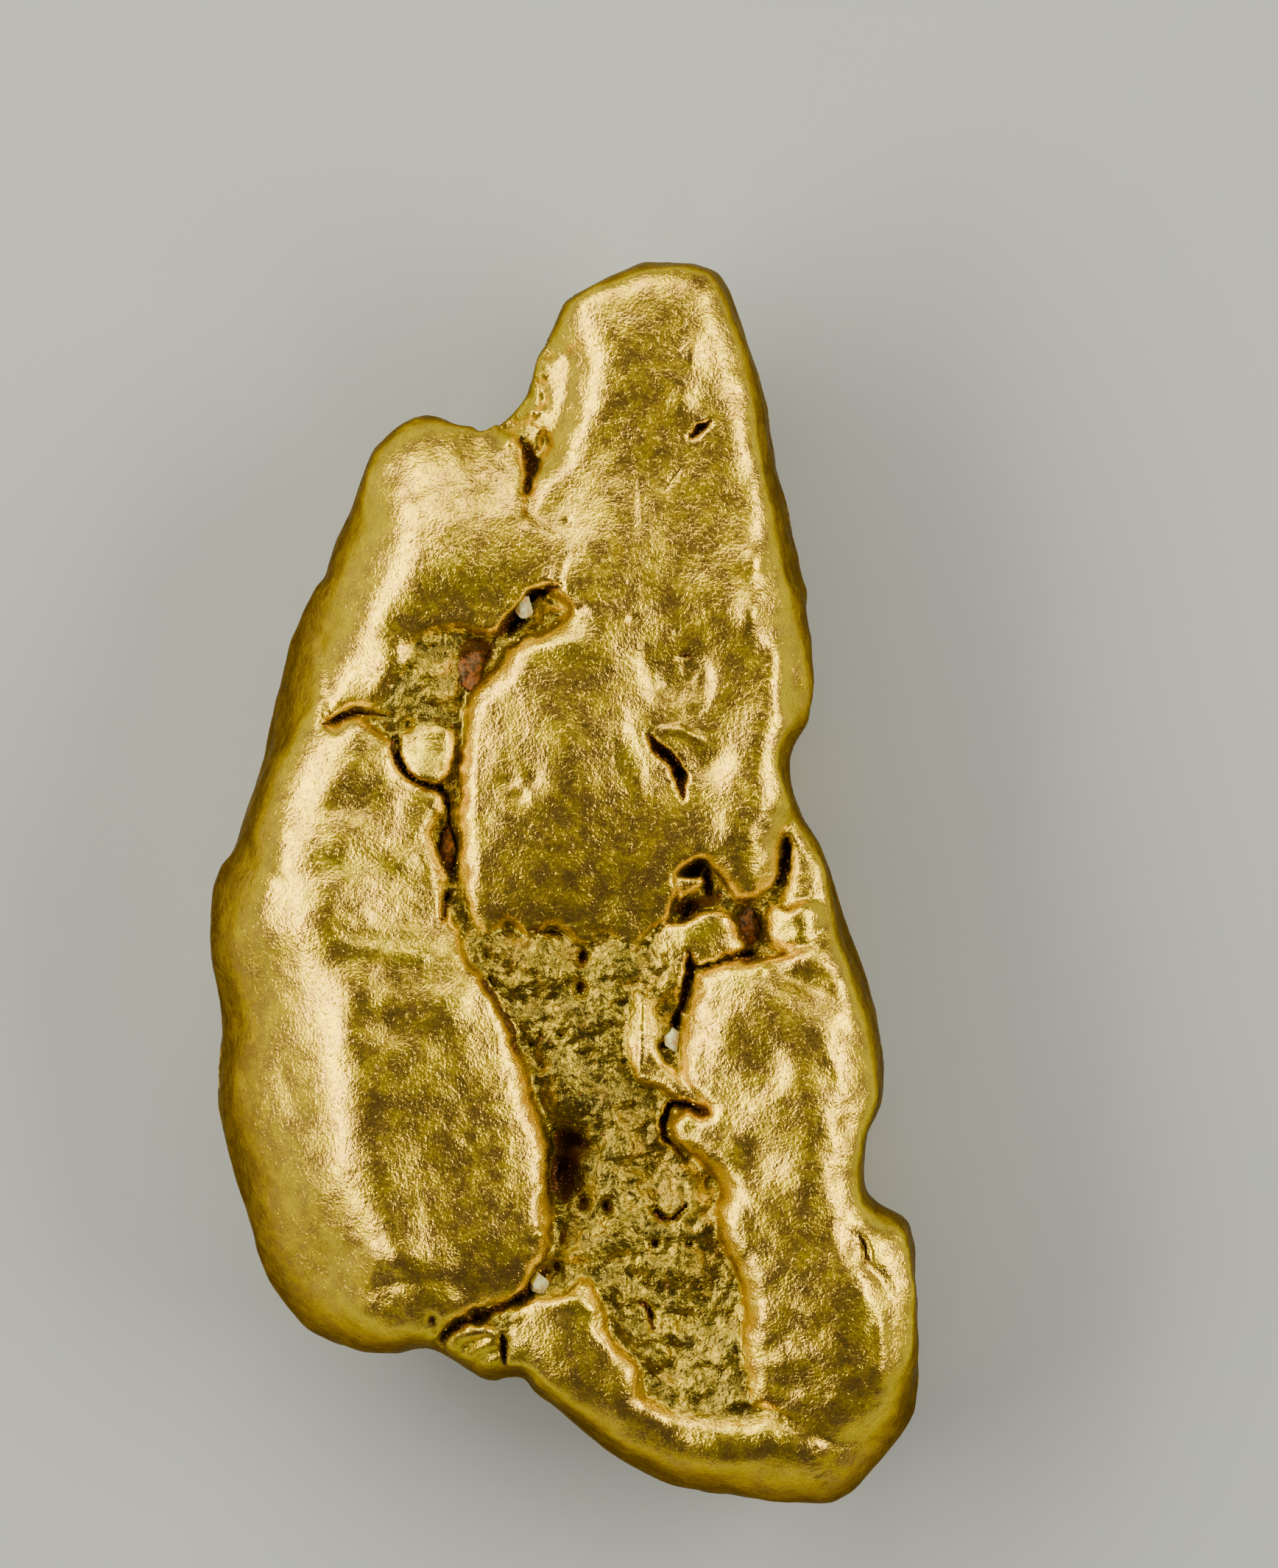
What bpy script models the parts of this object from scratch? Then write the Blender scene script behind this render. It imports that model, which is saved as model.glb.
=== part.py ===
"""A gold nugget, 30 mm long, lying on its back with its worn front up.

The gold grew as one lump. Its plan is a closed outline, its front a set of rounded lobes that
stand over a rough valley, and its back a smoother swell with a worn flat that it rests on.
Quartz grains and rusty vein stone stay caught in its clefts, each in a socket of its own.

The nugget is modelled in two steps: a thin plate of its plan, meshed evenly, whose points are
then moved to the front, the back and the rolled rim between them.
Run with: blender --background --python part.py
"""

import math
from dataclasses import dataclass

import bmesh
import bpy
import numpy as np
from mathutils import Matrix, Vector

# Driving dimensions, in metres. The tables below are in millimetres on the nugget's plan,
# +X to the right of its front and +Y towards its narrow end.
MM = 0.001
RIM_HEIGHT = 0.0036  # the widest section, above the surface that the nugget lies on
PLATE_THICKNESS = 0.0004
PLATE_VOXEL = 0.0002  # spacing of the points that carry the relief
FACETS_KEPT = 0.185  # share of the facets left after thinning
SOCKET_GAP = 0.00006  # between a caught grain and its socket
WORN_BLOCK = (0.04, 0.06, 0.01)  # the block that cuts the back's worn flat

# The same for the relief, in millimetres and plain shares.
LONGEST_SIDE_EDGE = 0.45  # longer edges of the sides are halved before they are shaped
SPLIT_PASSES = 2
SIDE_POWER = 9.0  # how late the side turns steep below its round shoulder
RIM_RISE = 0.9  # the rim's climb towards the narrow end
RISE_FROM = 4.0  # where on Y the climb starts
RISE_TO = 16.0  # where on Y it would level out, past the narrow end
SIDE_FROM = 0.9  # share of the roll where the sides' dents start
SIDE_TO = 0.5  # share of the roll where the dents have their full depth
ROLL_SMOOTHING = 6  # passes that even out the rim's roll
RADIUS_REACH = 0.4  # softens the change from one rim radius to the next
WALL_SLOPE = 6.0  # rise of a lobe's wall over its run
WALL_REACH = 1.0  # how far past its edge a lobe's wall is worked out
SMALLEST_RADIUS = 0.05
FILLET = 0.12  # blend between a lobe and what it stands on
LOBE_SMOOTHING = 0.02  # lets a lobe's top pass its spot heights a little
SPOT_FALL = 1.2  # how fast a hollow fades from its middle
ROUGH_FROM = 0.3  # height over the floor where a surface starts to turn rough
ROUGH_TO = 0.03  # height over the floor where it is fully rough
LINE_STEPS = 5  # samples of a smooth line between two of its points
PEBBLE_SPLITS = 2  # how finely a caught grain is faceted
CHIP_LEAST = 0.82  # a grain's points lie between these shares of its half size
CHIP_MOST = 1.05

# Seeds of the swells, each a pattern of its own.
FRONT_SEED = 1
FLOOR_SEED = 5
BACK_SEED = 9
RIM_SEED = 21
DENT_SEED = 20
DENT_SEED_STEP = 7  # from one axis to the next


@dataclass(frozen=True)
class Lobe:
    """A rounded sheet of gold that stands over what is under it.

    edge: its closed outline, as x, y and the radius that the edge turns down with. It runs past
    the rim where the lobe reaches the nugget's side.
    spots: heights on its top, as x, y and z.
    """

    edge: list
    spots: list


# The outline: x, y and the radius that the rim rolls over with.
RIM = [
    (2.5, 15.0, 0.8), (3.3, 14.87, 0.8), (3.9, 14.35, 0.9), (4.55, 12.6, 1.1), (5.07, 10.6, 1.2),
    (5.2, 9.7, 1.1), (5.68, 7.6, 1.3), (5.92, 6.9, 1.3), (6.03, 5.2, 1.3), (5.95, 4.5, 1.2),
    (5.75, 3.85, 0.9), (5.42, 3.3, 0.7), (5.42, 2.6, 0.7), (5.8, 1.65, 0.9), (6.38, 0.75, 1.2),
    (6.7, -0.6, 1.4), (7.38, -2.6, 1.1), (7.55, -3.4, 0.9), (7.73, -4.9, 0.8), (7.62, -5.55, 0.8),
    (7.4, -6.1, 0.8), (7.26, -7.15, 0.8), (7.5, -7.65, 0.8), (8.2, -8.1, 0.8), (8.42, -8.6, 0.7),
    (8.54, -9.7, 0.7), (8.54, -11.3, 0.8), (8.46, -12.4, 1.5), (8.3, -13.1, 2.2), (7.5, -14.1, 2.4),
    (6.7, -14.8, 2.5), (6.0, -14.98, 2.6), (4.0, -14.88, 2.7), (3.0, -14.65, 2.7), (2.0, -14.27, 2.6),
    (1.0, -13.72, 2.4), (-0.6, -12.35, 1.6), (-1.0, -11.88, 1.0), (-1.4, -11.8, 0.9),
    (-1.95, -11.85, 0.9), (-3.05, -11.33, 0.9), (-3.5, -11.28, 1.3), (-4.15, -11.4, 1.9),
    (-5.0, -11.28, 3.0), (-5.8, -10.95, 4.0), (-6.5, -10.35, 4.2), (-7.4, -8.8, 4.6), (-8.22, -5.7, 4.1),
    (-8.36, -4.6, 3.9), (-8.34, -3.0, 4.0), (-8.52, -1.5, 3.5), (-8.48, -0.4, 3.3), (-8.2, 0.5, 2.9),
    (-7.85, 1.1, 2.6), (-6.97, 4.3, 2.8), (-6.15, 6.95, 3.2), (-5.82, 7.5, 3.0), (-5.65, 8.1, 2.5),
    (-4.72, 10.2, 1.3), (-4.3, 10.75, 1.2), (-3.8, 11.13, 1.2), (-3.2, 11.28, 1.1), (-2.2, 11.02, 0.8),
    (-1.8, 10.93, 0.6), (-1.0, 11.68, 0.5), (-0.7, 12.6, 0.5), (-0.47, 12.95, 0.5), (-0.08, 13.7, 0.7),
    (0.22, 14.05, 0.6), (1.6, 14.85, 0.8),
]

# The lobes of the front, lowest in the pile first.
LEFT_LOBE = Lobe(
    [
        (-10, 6.5, 0.5), (-10, -13, 0.5), (-3.5, -13, 0.5), (-3.1, -11.1, 0.5), (-2.3, -10.25, 0.45),
        (-1.0, -9.95, 0.5), (-0.7, -9.35, 0.45), (-0.35, -8.6, 0.5), (-0.28, -6.5, 0.6),
        (-0.5, -5.6, 0.6), (-0.78, -4.97, 0.5), (-1.25, -3.4, 0.4), (-1.75, -2.45, 0.25),
        (-2.2, -1.95, 0.2), (-2.55, -1.2, 0.2), (-2.8, -0.3, 0.25), (-2.9, 0.4, 0.35), (-3.1, 1.2, 0.4),
        (-2.8, 2.0, 0.3), (-3.2, 2.25, 0.22), (-3.6, 2.55, 0.2), (-3.95, 3.0, 0.2), (-4.15, 3.4, 0.25),
        (-4.7, 3.9, 0.35), (-5.2, 3.95, 0.4), (-5.6, 3.85, 0.35), (-6.4, 6.5, 0.5),
    ],
    [
        (-8, 5, 7.1), (-8, 0, 7.6), (-8, -8, 6.9), (-8, -4, 7.3), (-6.3, 0, 7.75), (-4.6, -3, 7.75),
        (-5.8, -3, 7.65), (-4.4, -6.5, 7.6), (-5.6, -6.8, 7.47), (-4.1, -8.2, 7.5), (-3.6, -9.1, 7.35),
        (-4.9, -9.0, 7.2), (-5.7, -9.3, 6.9), (-4.5, -1.5, 7.5), (-4.0, -5.5, 7.6), (-3.2, -8, 7.35),
        (-2.8, -0.6, 7.0), (-2.4, -1.8, 7.2), (-1.9, -3.0, 7.3), (-1.0, -6, 7.1), (-0.9, -8.5, 6.95),
        (-4.0, -10.5, 6.75), (-6.4, -9.8, 6.7), (-5.0, 3.3, 7.25), (-3.6, 1.9, 6.95), (-2.3, -9.8, 6.8),
        (-3.1, 0.6, 7.0),
    ],
)
SHOULDER = Lobe(
    [
        (-10, 2.5, 0.5), (-6.3, 2.5, 0.4), (-5.8, 3.7, 0.3), (-5.2, 4.15, 0.3), (-4.4, 4.3, 0.3),
        (-3.95, 4.8, 0.35), (-3.6, 5.6, 0.4), (-3.05, 5.98, 0.4), (-2.3, 6.02, 0.35), (-1.5, 5.95, 0.35),
        (-1.2, 6.3, 0.25), (-0.9, 6.75, 0.25), (-0.4, 7.1, 0.3), (0.5, 7.3, 0.6), (0.8, 8.0, 0.8),
        (0.2, 8.6, 0.5), (-0.55, 8.75, 0.4), (-0.85, 9.0, 0.35), (-0.72, 10.0, 0.45), (-0.95, 10.6, 0.5),
        (-1.55, 11.0, 0.5), (-1.7, 13, 0.5), (-10, 13, 0.5),
    ],
    [
        (-7, 3, 7.1), (-5.5, 4.5, 6.98), (-4.4, 5.2, 7.05), (-3.6, 6.2, 7.0), (-1.6, 6.5, 7.1),
        (0, 7.4, 7.2), (-0.8, 8.4, 7.15), (-1.2, 9.6, 6.8), (-1.7, 10.6, 6.2), (-3.3, 10.4, 6.4),
        (-3.2, 8.4, 7.15), (-4.8, 8.6, 6.6), (-5.6, 7.0, 6.9), (-4.4, 6.3, 7.17), (-5.3, 6.3, 6.86),
        (-3.4, 7.4, 7.2), (-2.0, 7.8, 7.25), (-4.5, 10.5, 6.1), (-7, 7, 6.4),
    ],
)
BODY_LOBE = Lobe(
    [
        (-0.1, 17, 1.2), (-0.3, 13.2, 1.4), (-0.15, 12.4, 1.5), (-0.4, 10.9, 1.3), (-0.6, 10.2, 1.0),
        (-0.8, 9.6, 0.6), (-1.1, 8.8, 0.5), (-1.3, 7.9, 0.5), (-0.3, 7.05, 0.3), (0.2, 6.6, 0.3),
        (-0.3, 6.1, 0.5), (-1.1, 5.8, 0.6), (-1.7, 5.15, 0.7), (-2.25, 4.3, 0.5), (-2.45, 3.2, 0.45),
        (-2.5, 2.0, 0.5), (-2.5, 0.3, 0.6), (-2.35, -0.6, 0.3), (-1.9, -1.2, 0.2), (-1.35, -0.95, 0.25),
        (-0.8, -1.3, 0.2), (-0.2, -1.0, 0.3), (0.4, -1.5, 0.2), (1.0, -1.15, 0.3), (1.6, -1.5, 0.2),
        (2.0, -1.2, 0.2), (2.45, -0.9, 0.2), (2.7, -0.3, 0.2), (2.8, 0.35, 0.25), (3.1, 0.52, 0.3),
        (3.42, 0.5, 0.4), (3.78, 0.12, 0.45), (4.1, -0.3, 0.45), (4.5, -0.46, 0.45), (5.0, -0.05, 0.6),
        (5.3, 0.7, 0.8), (5.5, 1.4, 0.8), (7, 2, 0.5), (8, 6, 0.5), (8, 17, 0.5),
    ],
    [
        (1.5, 16, 6.5), (2.0, 13.5, 6.8), (0.5, 12.5, 6.7), (3.8, 13, 6.65), (2.3, 11, 6.9),
        (0.2, 11, 6.75), (4.4, 10, 6.8), (-0.3, 9, 6.9), (2.5, 9, 7.0), (4.9, 8.3, 6.9), (0.6, 7.6, 7.3),
        (4.4, 6.5, 7.22), (5.1, 6.3, 6.98), (5.6, 6.2, 6.72), (2.6, 6.4, 7.15), (5.3, 5, 7.1),
        (0.3, 5.2, 7.45), (3.0, 5, 7.1), (-1.7, 3.7, 7.2), (0, 3.5, 7.5), (2.2, 3.4, 7.15),
        (3.5, 2.9, 7.08), (4.9, 3.7, 7.3), (4.5, 2.2, 7.3), (4.4, 1.2, 7.3), (-1.8, 1.3, 7.15),
        (0, 1.5, 7.35), (1.8, 1.4, 7.2), (3.7, 1.3, 7.2), (-1.8, -0.2, 7.0), (0.3, -0.2, 7.0),
        (2.2, 0, 6.95), (4.3, 0.3, 7.1), (7, 6, 7.1), (-1.8, -1.0, 6.8), (0.3, -1.2, 6.74),
        (2.0, -1.1, 6.76), (5.3, 0.9, 6.9),
    ],
)
RIGHT_LOBE = Lobe(
    [
        (4.5, -1.78, 0.35), (3.3, -2.1, 0.4), (3.05, -2.6, 0.45), (2.8, -3.3, 0.45), (2.75, -4.1, 0.5),
        (2.95, -4.9, 0.4), (3.45, -5.35, 0.35), (3.35, -5.62, 0.3), (2.95, -5.5, 0.25),
        (2.62, -5.7, 0.25), (2.75, -6.2, 0.35), (3.2, -6.6, 0.5), (3.75, -7.3, 0.7), (3.7, -8.1, 0.6),
        (3.95, -8.9, 0.6), (4.35, -9.7, 0.6), (4.25, -10.8, 0.6), (4.3, -11.65, 0.6), (4.4, -12.5, 0.6),
        (5.2, -13.4, 0.8), (6.5, -16, 1.0), (10, -16, 1.0), (10, -1, 1.0), (7.2, -0.2, 0.6),
        (6.4, -0.5, 0.6), (5.8, -1.4, 0.5), (5.2, -1.75, 0.45),
    ],
    [
        (4.0, -2.5, 7.15), (5.5, -2.2, 7.15), (6.8, -1.8, 6.9), (3.15, -3.6, 6.88), (3.7, -3.6, 7.14),
        (4.3, -3.8, 7.2), (5.0, -4.4, 7.35), (6.0, -3.8, 7.42), (6.8, -4.5, 7.16), (7.4, -4.5, 6.88),
        (6.2, -5.3, 7.42), (3.3, -6.1, 7.0), (5.0, -6.5, 7.3), (6.1, -7.2, 7.42), (4.4, -8.2, 7.1),
        (5.6, -9.2, 7.15), (6.4, -9.3, 7.25), (7.1, -7.2, 7.0), (6.9, -10, 7.2), (7.6, -10, 6.9),
        (7.5, -3.6, 6.86), (7.6, -11.7, 6.8), (5.4, -11.2, 6.7), (6.7, -10.8, 7.05), (5.6, -13, 6.4),
        (7.6, -13, 6.4), (8.2, -9.2, 6.65), (8.25, -11, 6.54),
    ],
)
BOTTOM_LOBE = Lobe(
    [
        (-1.35, -10.5, 0.3), (-1.0, -10.05, 0.3), (0.0, -9.75, 0.35), (0.6, -9.5, 0.35),
        (0.95, -10.2, 0.35), (1.05, -10.8, 0.8), (1.5, -11.3, 1.0), (1.86, -11.75, 1.0),
        (1.85, -12.25, 1.0), (2.2, -12.4, 1.0), (2.7, -12.5, 0.9), (3.3, -12.55, 0.9), (4.2, -12.6, 0.9),
        (5.0, -12.4, 1.0), (6.5, -13, 1.0), (9, -14, 1.0), (9, -17, 1.0), (-1, -17, 1.0),
        (-3, -13.5, 1.0), (-1.6, -11.7, 0.4),
    ],
    [
        (-0.8, -10.9, 6.35), (0.2, -10.6, 6.6), (0.3, -12, 6.45), (1.2, -11.6, 6.3), (1.3, -12.8, 6.45),
        (3.3, -13.7, 6.55), (3.2, -12.8, 6.3), (4.5, -13.75, 6.55), (4.4, -12.9, 6.32),
        (2.6, -14.3, 6.3), (4.5, -14.7, 6.3), (6.3, -13.7, 6.4), (0, -14, 5.8), (4, -16, 6.0),
        (0.3, -9.9, 6.6),
    ],
)
CRUMPLED_LUMP = Lobe(
    [
        (-3.0, -11.8, 0.4), (-2.95, -11.1, 0.35), (-2.4, -10.6, 0.35), (-1.75, -10.55, 0.35),
        (-1.5, -11.0, 0.3), (-1.4, -11.7, 0.4), (-1.8, -12.6, 0.5), (-2.8, -12.4, 0.5),
    ],
    [(-2.7, -11.3, 5.9), (-2.0, -11, 6.2), (-1.6, -11.5, 5.9), (-2.2, -12, 5.4)],
)
FOLDED_FLAP = Lobe(
    [
        (-3.95, 3.3, 0.15), (-3.75, 2.85, 0.15), (-3.4, 2.5, 0.15), (-3.0, 2.42, 0.15),
        (-2.72, 2.75, 0.2), (-2.62, 3.3, 0.2), (-2.8, 3.7, 0.15), (-3.3, 3.85, 0.15), (-3.8, 3.75, 0.15),
    ],
    [(-3.7, 3.3, 6.8), (-3.3, 2.8, 7.05), (-2.85, 3.0, 6.85), (-3.2, 3.6, 6.75)],
)
CRUMBLY_FLANGE = Lobe(
    [
        (-2.0, 11.2, 0.4), (-1.1, 11.9, 0.4), (-1.0, 13, 0.4), (-0.4, 14, 0.4), (0.5, 13.6, 0.5),
        (0.4, 11, 0.5), (0.1, 10, 0.4), (-0.8, 9.2, 0.4), (-1.1, 10, 0.4),
    ],
    [
        (-0.6, 12.6, 5.8), (-1.2, 11.5, 5.5), (-0.5, 11.2, 5.9), (-0.1, 13.4, 5.9), (-0.5, 10.2, 5.9),
        (-1.0, 10.6, 5.6),
    ],
)
CLEFT_TONGUE = Lobe(
    [
        (2.3, -1.0, 0.3), (2.76, -0.94, 0.15), (3.3, -0.71, 0.15), (3.85, -0.71, 0.2),
        (4.17, -0.98, 0.2), (4.4, -1.4, 0.2), (4.25, -1.64, 0.2), (3.85, -1.8, 0.2), (3.3, -1.92, 0.15),
        (3.05, -1.75, 0.2), (2.98, -2.3, 0.2), (2.65, -2.95, 0.25), (2.1, -2.6, 0.3), (2.0, -1.6, 0.4),
    ],
    [(2.4, -1.3, 6.6), (3.0, -1.1, 6.8), (3.7, -1.3, 6.75), (4.1, -1.3, 6.7), (2.5, -2.4, 6.5)],
)
UPPER_TONGUE = Lobe(
    [
        (2.3, 0.3, 0.3), (2.85, 0.2, 0.12), (3.3, 0.12, 0.15), (3.4, -0.07, 0.15), (3.0, -0.4, 0.15),
        (2.65, -0.66, 0.15), (2.2, -0.6, 0.3),
    ],
    [(2.5, 0.0, 6.75), (3.1, 0.0, 6.7), (2.6, -0.4, 6.6)],
)
CLEFT_KNOB = Lobe(
    [
        (4.8, -0.9, 0.2), (5.0, -0.6, 0.25), (5.5, -0.5, 0.3), (6.1, -0.5, 0.4), (6.3, -1.0, 0.4),
        (5.9, -1.6, 0.3), (5.3, -1.65, 0.25), (4.9, -1.4, 0.2),
    ],
    [(5, -1, 6.65), (5.6, -0.8, 6.95), (6.0, -1.1, 6.9), (5.4, -1.4, 6.8)],
)
RIGHT_WALL = Lobe(
    [
        (5.35, 1.4, 0.2), (5.5, 0.9, 0.2), (5.4, 0.2, 0.25), (5.15, -0.3, 0.25), (5.6, -0.8, 0.3),
        (8, -1, 0.5), (8, 2.2, 0.5), (5.9, 2.2, 0.3),
    ],
    [(5.9, 1.0, 6.6), (6.2, 0.2, 6.65), (5.6, 0, 6.5), (6.3, -0.6, 6.75), (5.8, 1.5, 6.6)],
)
VALLEY_RIDGE = Lobe(
    [
        (1.6, -2.1, 0.25), (2.1, -1.9, 0.3), (2.3, -3.9, 0.3), (2.7, -4.5, 0.3), (3.2, -4.95, 0.3),
        (3.4, -5.35, 0.2), (2.3, -4.9, 0.22), (1.65, -4.58, 0.22), (1.55, -3.4, 0.25),
    ],
    [(1.8, -2.3, 6.55), (1.9, -3.4, 6.62), (1.9, -4.4, 6.62), (2.9, -4.95, 6.75)],
)
LOBES = [
    LEFT_LOBE, SHOULDER, BODY_LOBE, RIGHT_LOBE, BOTTOM_LOBE, CRUMPLED_LUMP, FOLDED_FLAP, CRUMBLY_FLANGE,
    CLEFT_TONGUE, UPPER_TONGUE, CLEFT_KNOB, RIGHT_WALL, VALLEY_RIDGE,
]

# Spot heights of the rough floor that the lobes stand on: x, y, z.
FLOOR = [
    (-3, 5, 6.65), (-2, 5.2, 6.2), (-3.3, 4.0, 6.5), (-2.2, 3, 6.4), (-2.9, 1, 6.35), (-2.7, -0.7, 6.6),
    (-1.6, -1.7, 6.52), (0, -1.8, 6.47), (1.5, -1.8, 6.5), (2.6, -1.5, 6.35), (-1, -3.2, 6.4),
    (0.3, -3.3, 6.4), (1, -4.2, 6.3), (2.4, -3.6, 6.35), (-0.3, -5, 6.2), (0.9, -5.4, 6.2),
    (2.3, -5.3, 6.1), (0, -7, 5.7), (1.0, -6.8, 6.1), (2.2, -6.8, 6.0), (0.4, -8.8, 6.2),
    (1.6, -8.7, 6.1), (3.0, -8.6, 6.1), (-0.7, -9.6, 5.9), (-1.6, -10.3, 5.8), (2, -9.8, 5.95),
    (3.6, -9.8, 5.9), (3.0, -11.3, 5.7), (2.8, -12.4, 5.8), (4.1, -12.9, 5.9), (4.3, -11.2, 6.0),
    (3, 0.4, 6.2), (3.3, -0.4, 6.25), (4.5, -0.9, 6.1), (5.2, 0.5, 6.2), (-1, 10, 5.6), (-0.8, 7, 6.6),
    (-3, -11, 5.3), (6, 1, 6.0), (0, 12, 5.6), (0, -14, 4.8), (7, -10, 5.8), (-7, 0, 6.2), (-5, 8, 5.8),
    (4, 12, 5.8),
]

# Clefts, as open lines: x, y, half width and depth.
CLEFTS = [
    [(-0.95, 10.6, 0.15, 0.2), (-0.8, 10.1, 0.22, 0.7), (-0.82, 9.7, 0.2, 0.6), (-0.85, 9.3, 0.15, 0.2)],
    [(3.05, 10.68, 0.15, 0.15), (3.28, 10.86, 0.2, 0.4), (3.55, 11.08, 0.15, 0.1)],
    [(2.0, 3.55, 0.2, 0.2), (2.3, 3.25, 0.24, 0.6), (2.65, 2.9, 0.26, 0.9), (2.9, 2.05, 0.2, 0.3)],
    [(-5.8, 3.85, 0.15, 0.1), (-5.2, 4.02, 0.2, 0.35), (-4.7, 4.1, 0.2, 0.35), (-4.2, 4.0, 0.18, 0.2)],
    [(-1.6, 5.95, 0.25, 0.3), (-1.2, 6.25, 0.26, 0.7), (-0.8, 6.85, 0.24, 0.7), (-0.05, 7.17, 0.15, 0.15)],
    [(-4.15, 3.45, 0.15, 0.1), (-3.98, 3.0, 0.18, 0.4), (-3.65, 2.6, 0.18, 0.4), (-3.0, 2.25, 0.18, 0.4)],
    [(-2.75, 2.0, 0.2, 0.3), (-2.7, 1.2, 0.24, 0.4), (-2.68, 0.3, 0.24, 0.45), (-2.8, -0.6, 0.15, 0.25)],
    [(5.45, 1.1, 0.18, 0.3), (5.36, 0.75, 0.22, 0.6), (5.25, 0.35, 0.2, 0.5), (5.05, 0.0, 0.15, 0.2)],
    [(3.05, -1.85, 0.16, 0.3), (3.08, -2.2, 0.2, 0.5), (2.92, -2.8, 0.22, 0.6), (2.7, -3.4, 0.2, 0.5)],
    [(-1.85, -2.3, 0.15, 0.2), (-1.6, -2.8, 0.2, 0.4), (-1.3, -3.35, 0.2, 0.4), (-1.1, -4.0, 0.15, 0.15)],
    [(3.5, -5.5, 0.16, 0.3), (2.85, -5.32, 0.2, 0.6), (2.45, -5.65, 0.2, 0.5), (2.6, -6.3, 0.16, 0.2)],
    [(-2.9, -11.5, 0.16, 0.2), (-2.85, -11.0, 0.18, 0.4), (-1.8, -10.33, 0.2, 0.4), (-0.6, -9.6, 0.2, 0.3)],
]

# Hollows, and knobs where the depth is below zero: x, y, half sizes, turn in degrees and depth.
HOLLOWS = [
    (-5.0, -1.7, 0.9, 0.4, 10, 0.08), (-5.0, 1.9, 0.7, 0.5, 20, 0.16), (-3.8, 0.55, 0.4, 0.3, 0, -0.08),
    (-4.0, -1.6, 1.2, 0.3, -5, -0.1), (-2.6, -2.9, 0.5, 0.5, 0, -0.08),
    (-4.2, -3.4, 0.9, 0.5, -10, 0.15), (-3.0, -7.0, 0.8, 0.6, 20, 0.08),
    (-4.3, -8.5, 0.6, 0.5, 0, -0.12), (-4.0, -9.5, 0.7, 0.4, 20, 0.12), (-7.6, -4.7, 0.4, 0.3, 60, 0.12),
    (-1.8, 9.3, 0.5, 0.28, 10, 0.08), (-2.4, 7.4, 0.8, 0.5, 0, -0.1), (2.9, 5.0, 0.7, 0.55, 15, 0.14),
    (3.5, 2.85, 0.5, 0.35, 0, 0.1), (0.1, 6.35, 0.55, 0.45, 0, 0.14), (0.0, 5.7, 0.8, 0.3, 0, -0.1),
    (5.6, 4.3, 0.3, 0.7, 10, 0.5), (3.1, 12.7, 0.3, 0.45, 0, -0.1), (4.0, 8.6, 0.5, 0.8, 0, 0.08),
    (4.7, 7.7, 0.3, 0.4, 0, -0.1), (4.6, 6.7, 0.25, 0.3, 0, -0.08), (5.1, 5.4, 0.3, 0.5, 0, -0.1),
    (5.0, -4.5, 0.4, 0.55, 0, 0.12), (5.6, -2.3, 0.9, 0.4, -25, 0.25), (4.6, -6.6, 0.5, 0.7, 0, 0.1),
    (6.0, -8.6, 0.5, 0.5, 0, 0.1), (6.8, -5.8, 0.3, 0.4, 0, 0.12), (5.2, -11.4, 0.25, 0.3, 0, -0.08),
    (2.35, -7.2, 0.4, 0.75, 5, 0.4), (3.15, -9.4, 0.25, 0.3, 40, -0.15),
    (2.6, -9.3, 0.25, 0.3, 10, -0.12), (0.02, -6.9, 0.36, 0.75, 0, 0.5),
    (1.06, -7.75, 0.25, 0.28, 0, 0.35), (3.1, 0.37, 0.3, 0.22, 0, 0.45),
    (2.95, -0.62, 0.4, 0.25, -15, 0.4), (4.45, -1.05, 0.36, 0.55, 0, 0.4),
]

# Spot heights of the back, below zero where it is worn flat: x, y, z.
BACK = [
    (-0.8, -1, -0.4), (-4.2, -1, 0), (2.6, -1.5, 0), (-1, 4.5, 0), (0.5, -6.5, 0), (-3.5, 3.5, 0.2),
    (2.5, 4, 0.3), (-3.5, -6, 0.25), (4, -6, 0.3), (1.5, 8.5, 0.9), (2.3, 13.5, 2.2), (-4, 9, 1.5),
    (-7, 0, 0.7), (-7.3, -5, 0.8), (-5, -9.5, 0.9), (0, -11, 0.8), (4.5, -12, 0.9), (7.5, -11.5, 1.1),
    (7, -7, 0.9), (6.3, -2.5, 0.7), (5.2, 3, 0.8), (5, 8, 1.3),
]
BACK_HOLLOWS = [
    (1.5, 8.0, 2.2, 0.45, 65, 0.45), (-4.6, 3.6, 1.6, 0.5, 20, 0.4), (5.0, -1.0, 1.4, 0.4, 80, 0.45),
    (0.5, -8.5, 1.8, 0.5, 35, 0.5), (-5.2, -5.0, 0.8, 0.6, 0, 0.25), (5.8, -10.2, 0.7, 0.9, 20, 0.3),
    (-2.2, 9.0, 0.8, 0.5, 10, 0.25), (3.6, 12.2, 0.5, 0.7, 0, 0.2), (-2.5, -10.0, 0.6, 0.5, 0, 0.3),
]

# Swells of the surface: period and height, in millimetres. The floor's are rougher.
# Swells of each surface, as period and height.
SWELLS = [(2.6, 0.09), (1.1, 0.035)]
FLOOR_SWELLS = [(1.3, 0.12), (0.6, 0.07)]
BACK_SWELLS = [(3.4, 0.14), (1.4, 0.06)]
RIM_SWELLS = [(7.0, 0.45)]
SIDE_DENTS = [(3.2, 0.22), (1.5, 0.06)]

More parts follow.
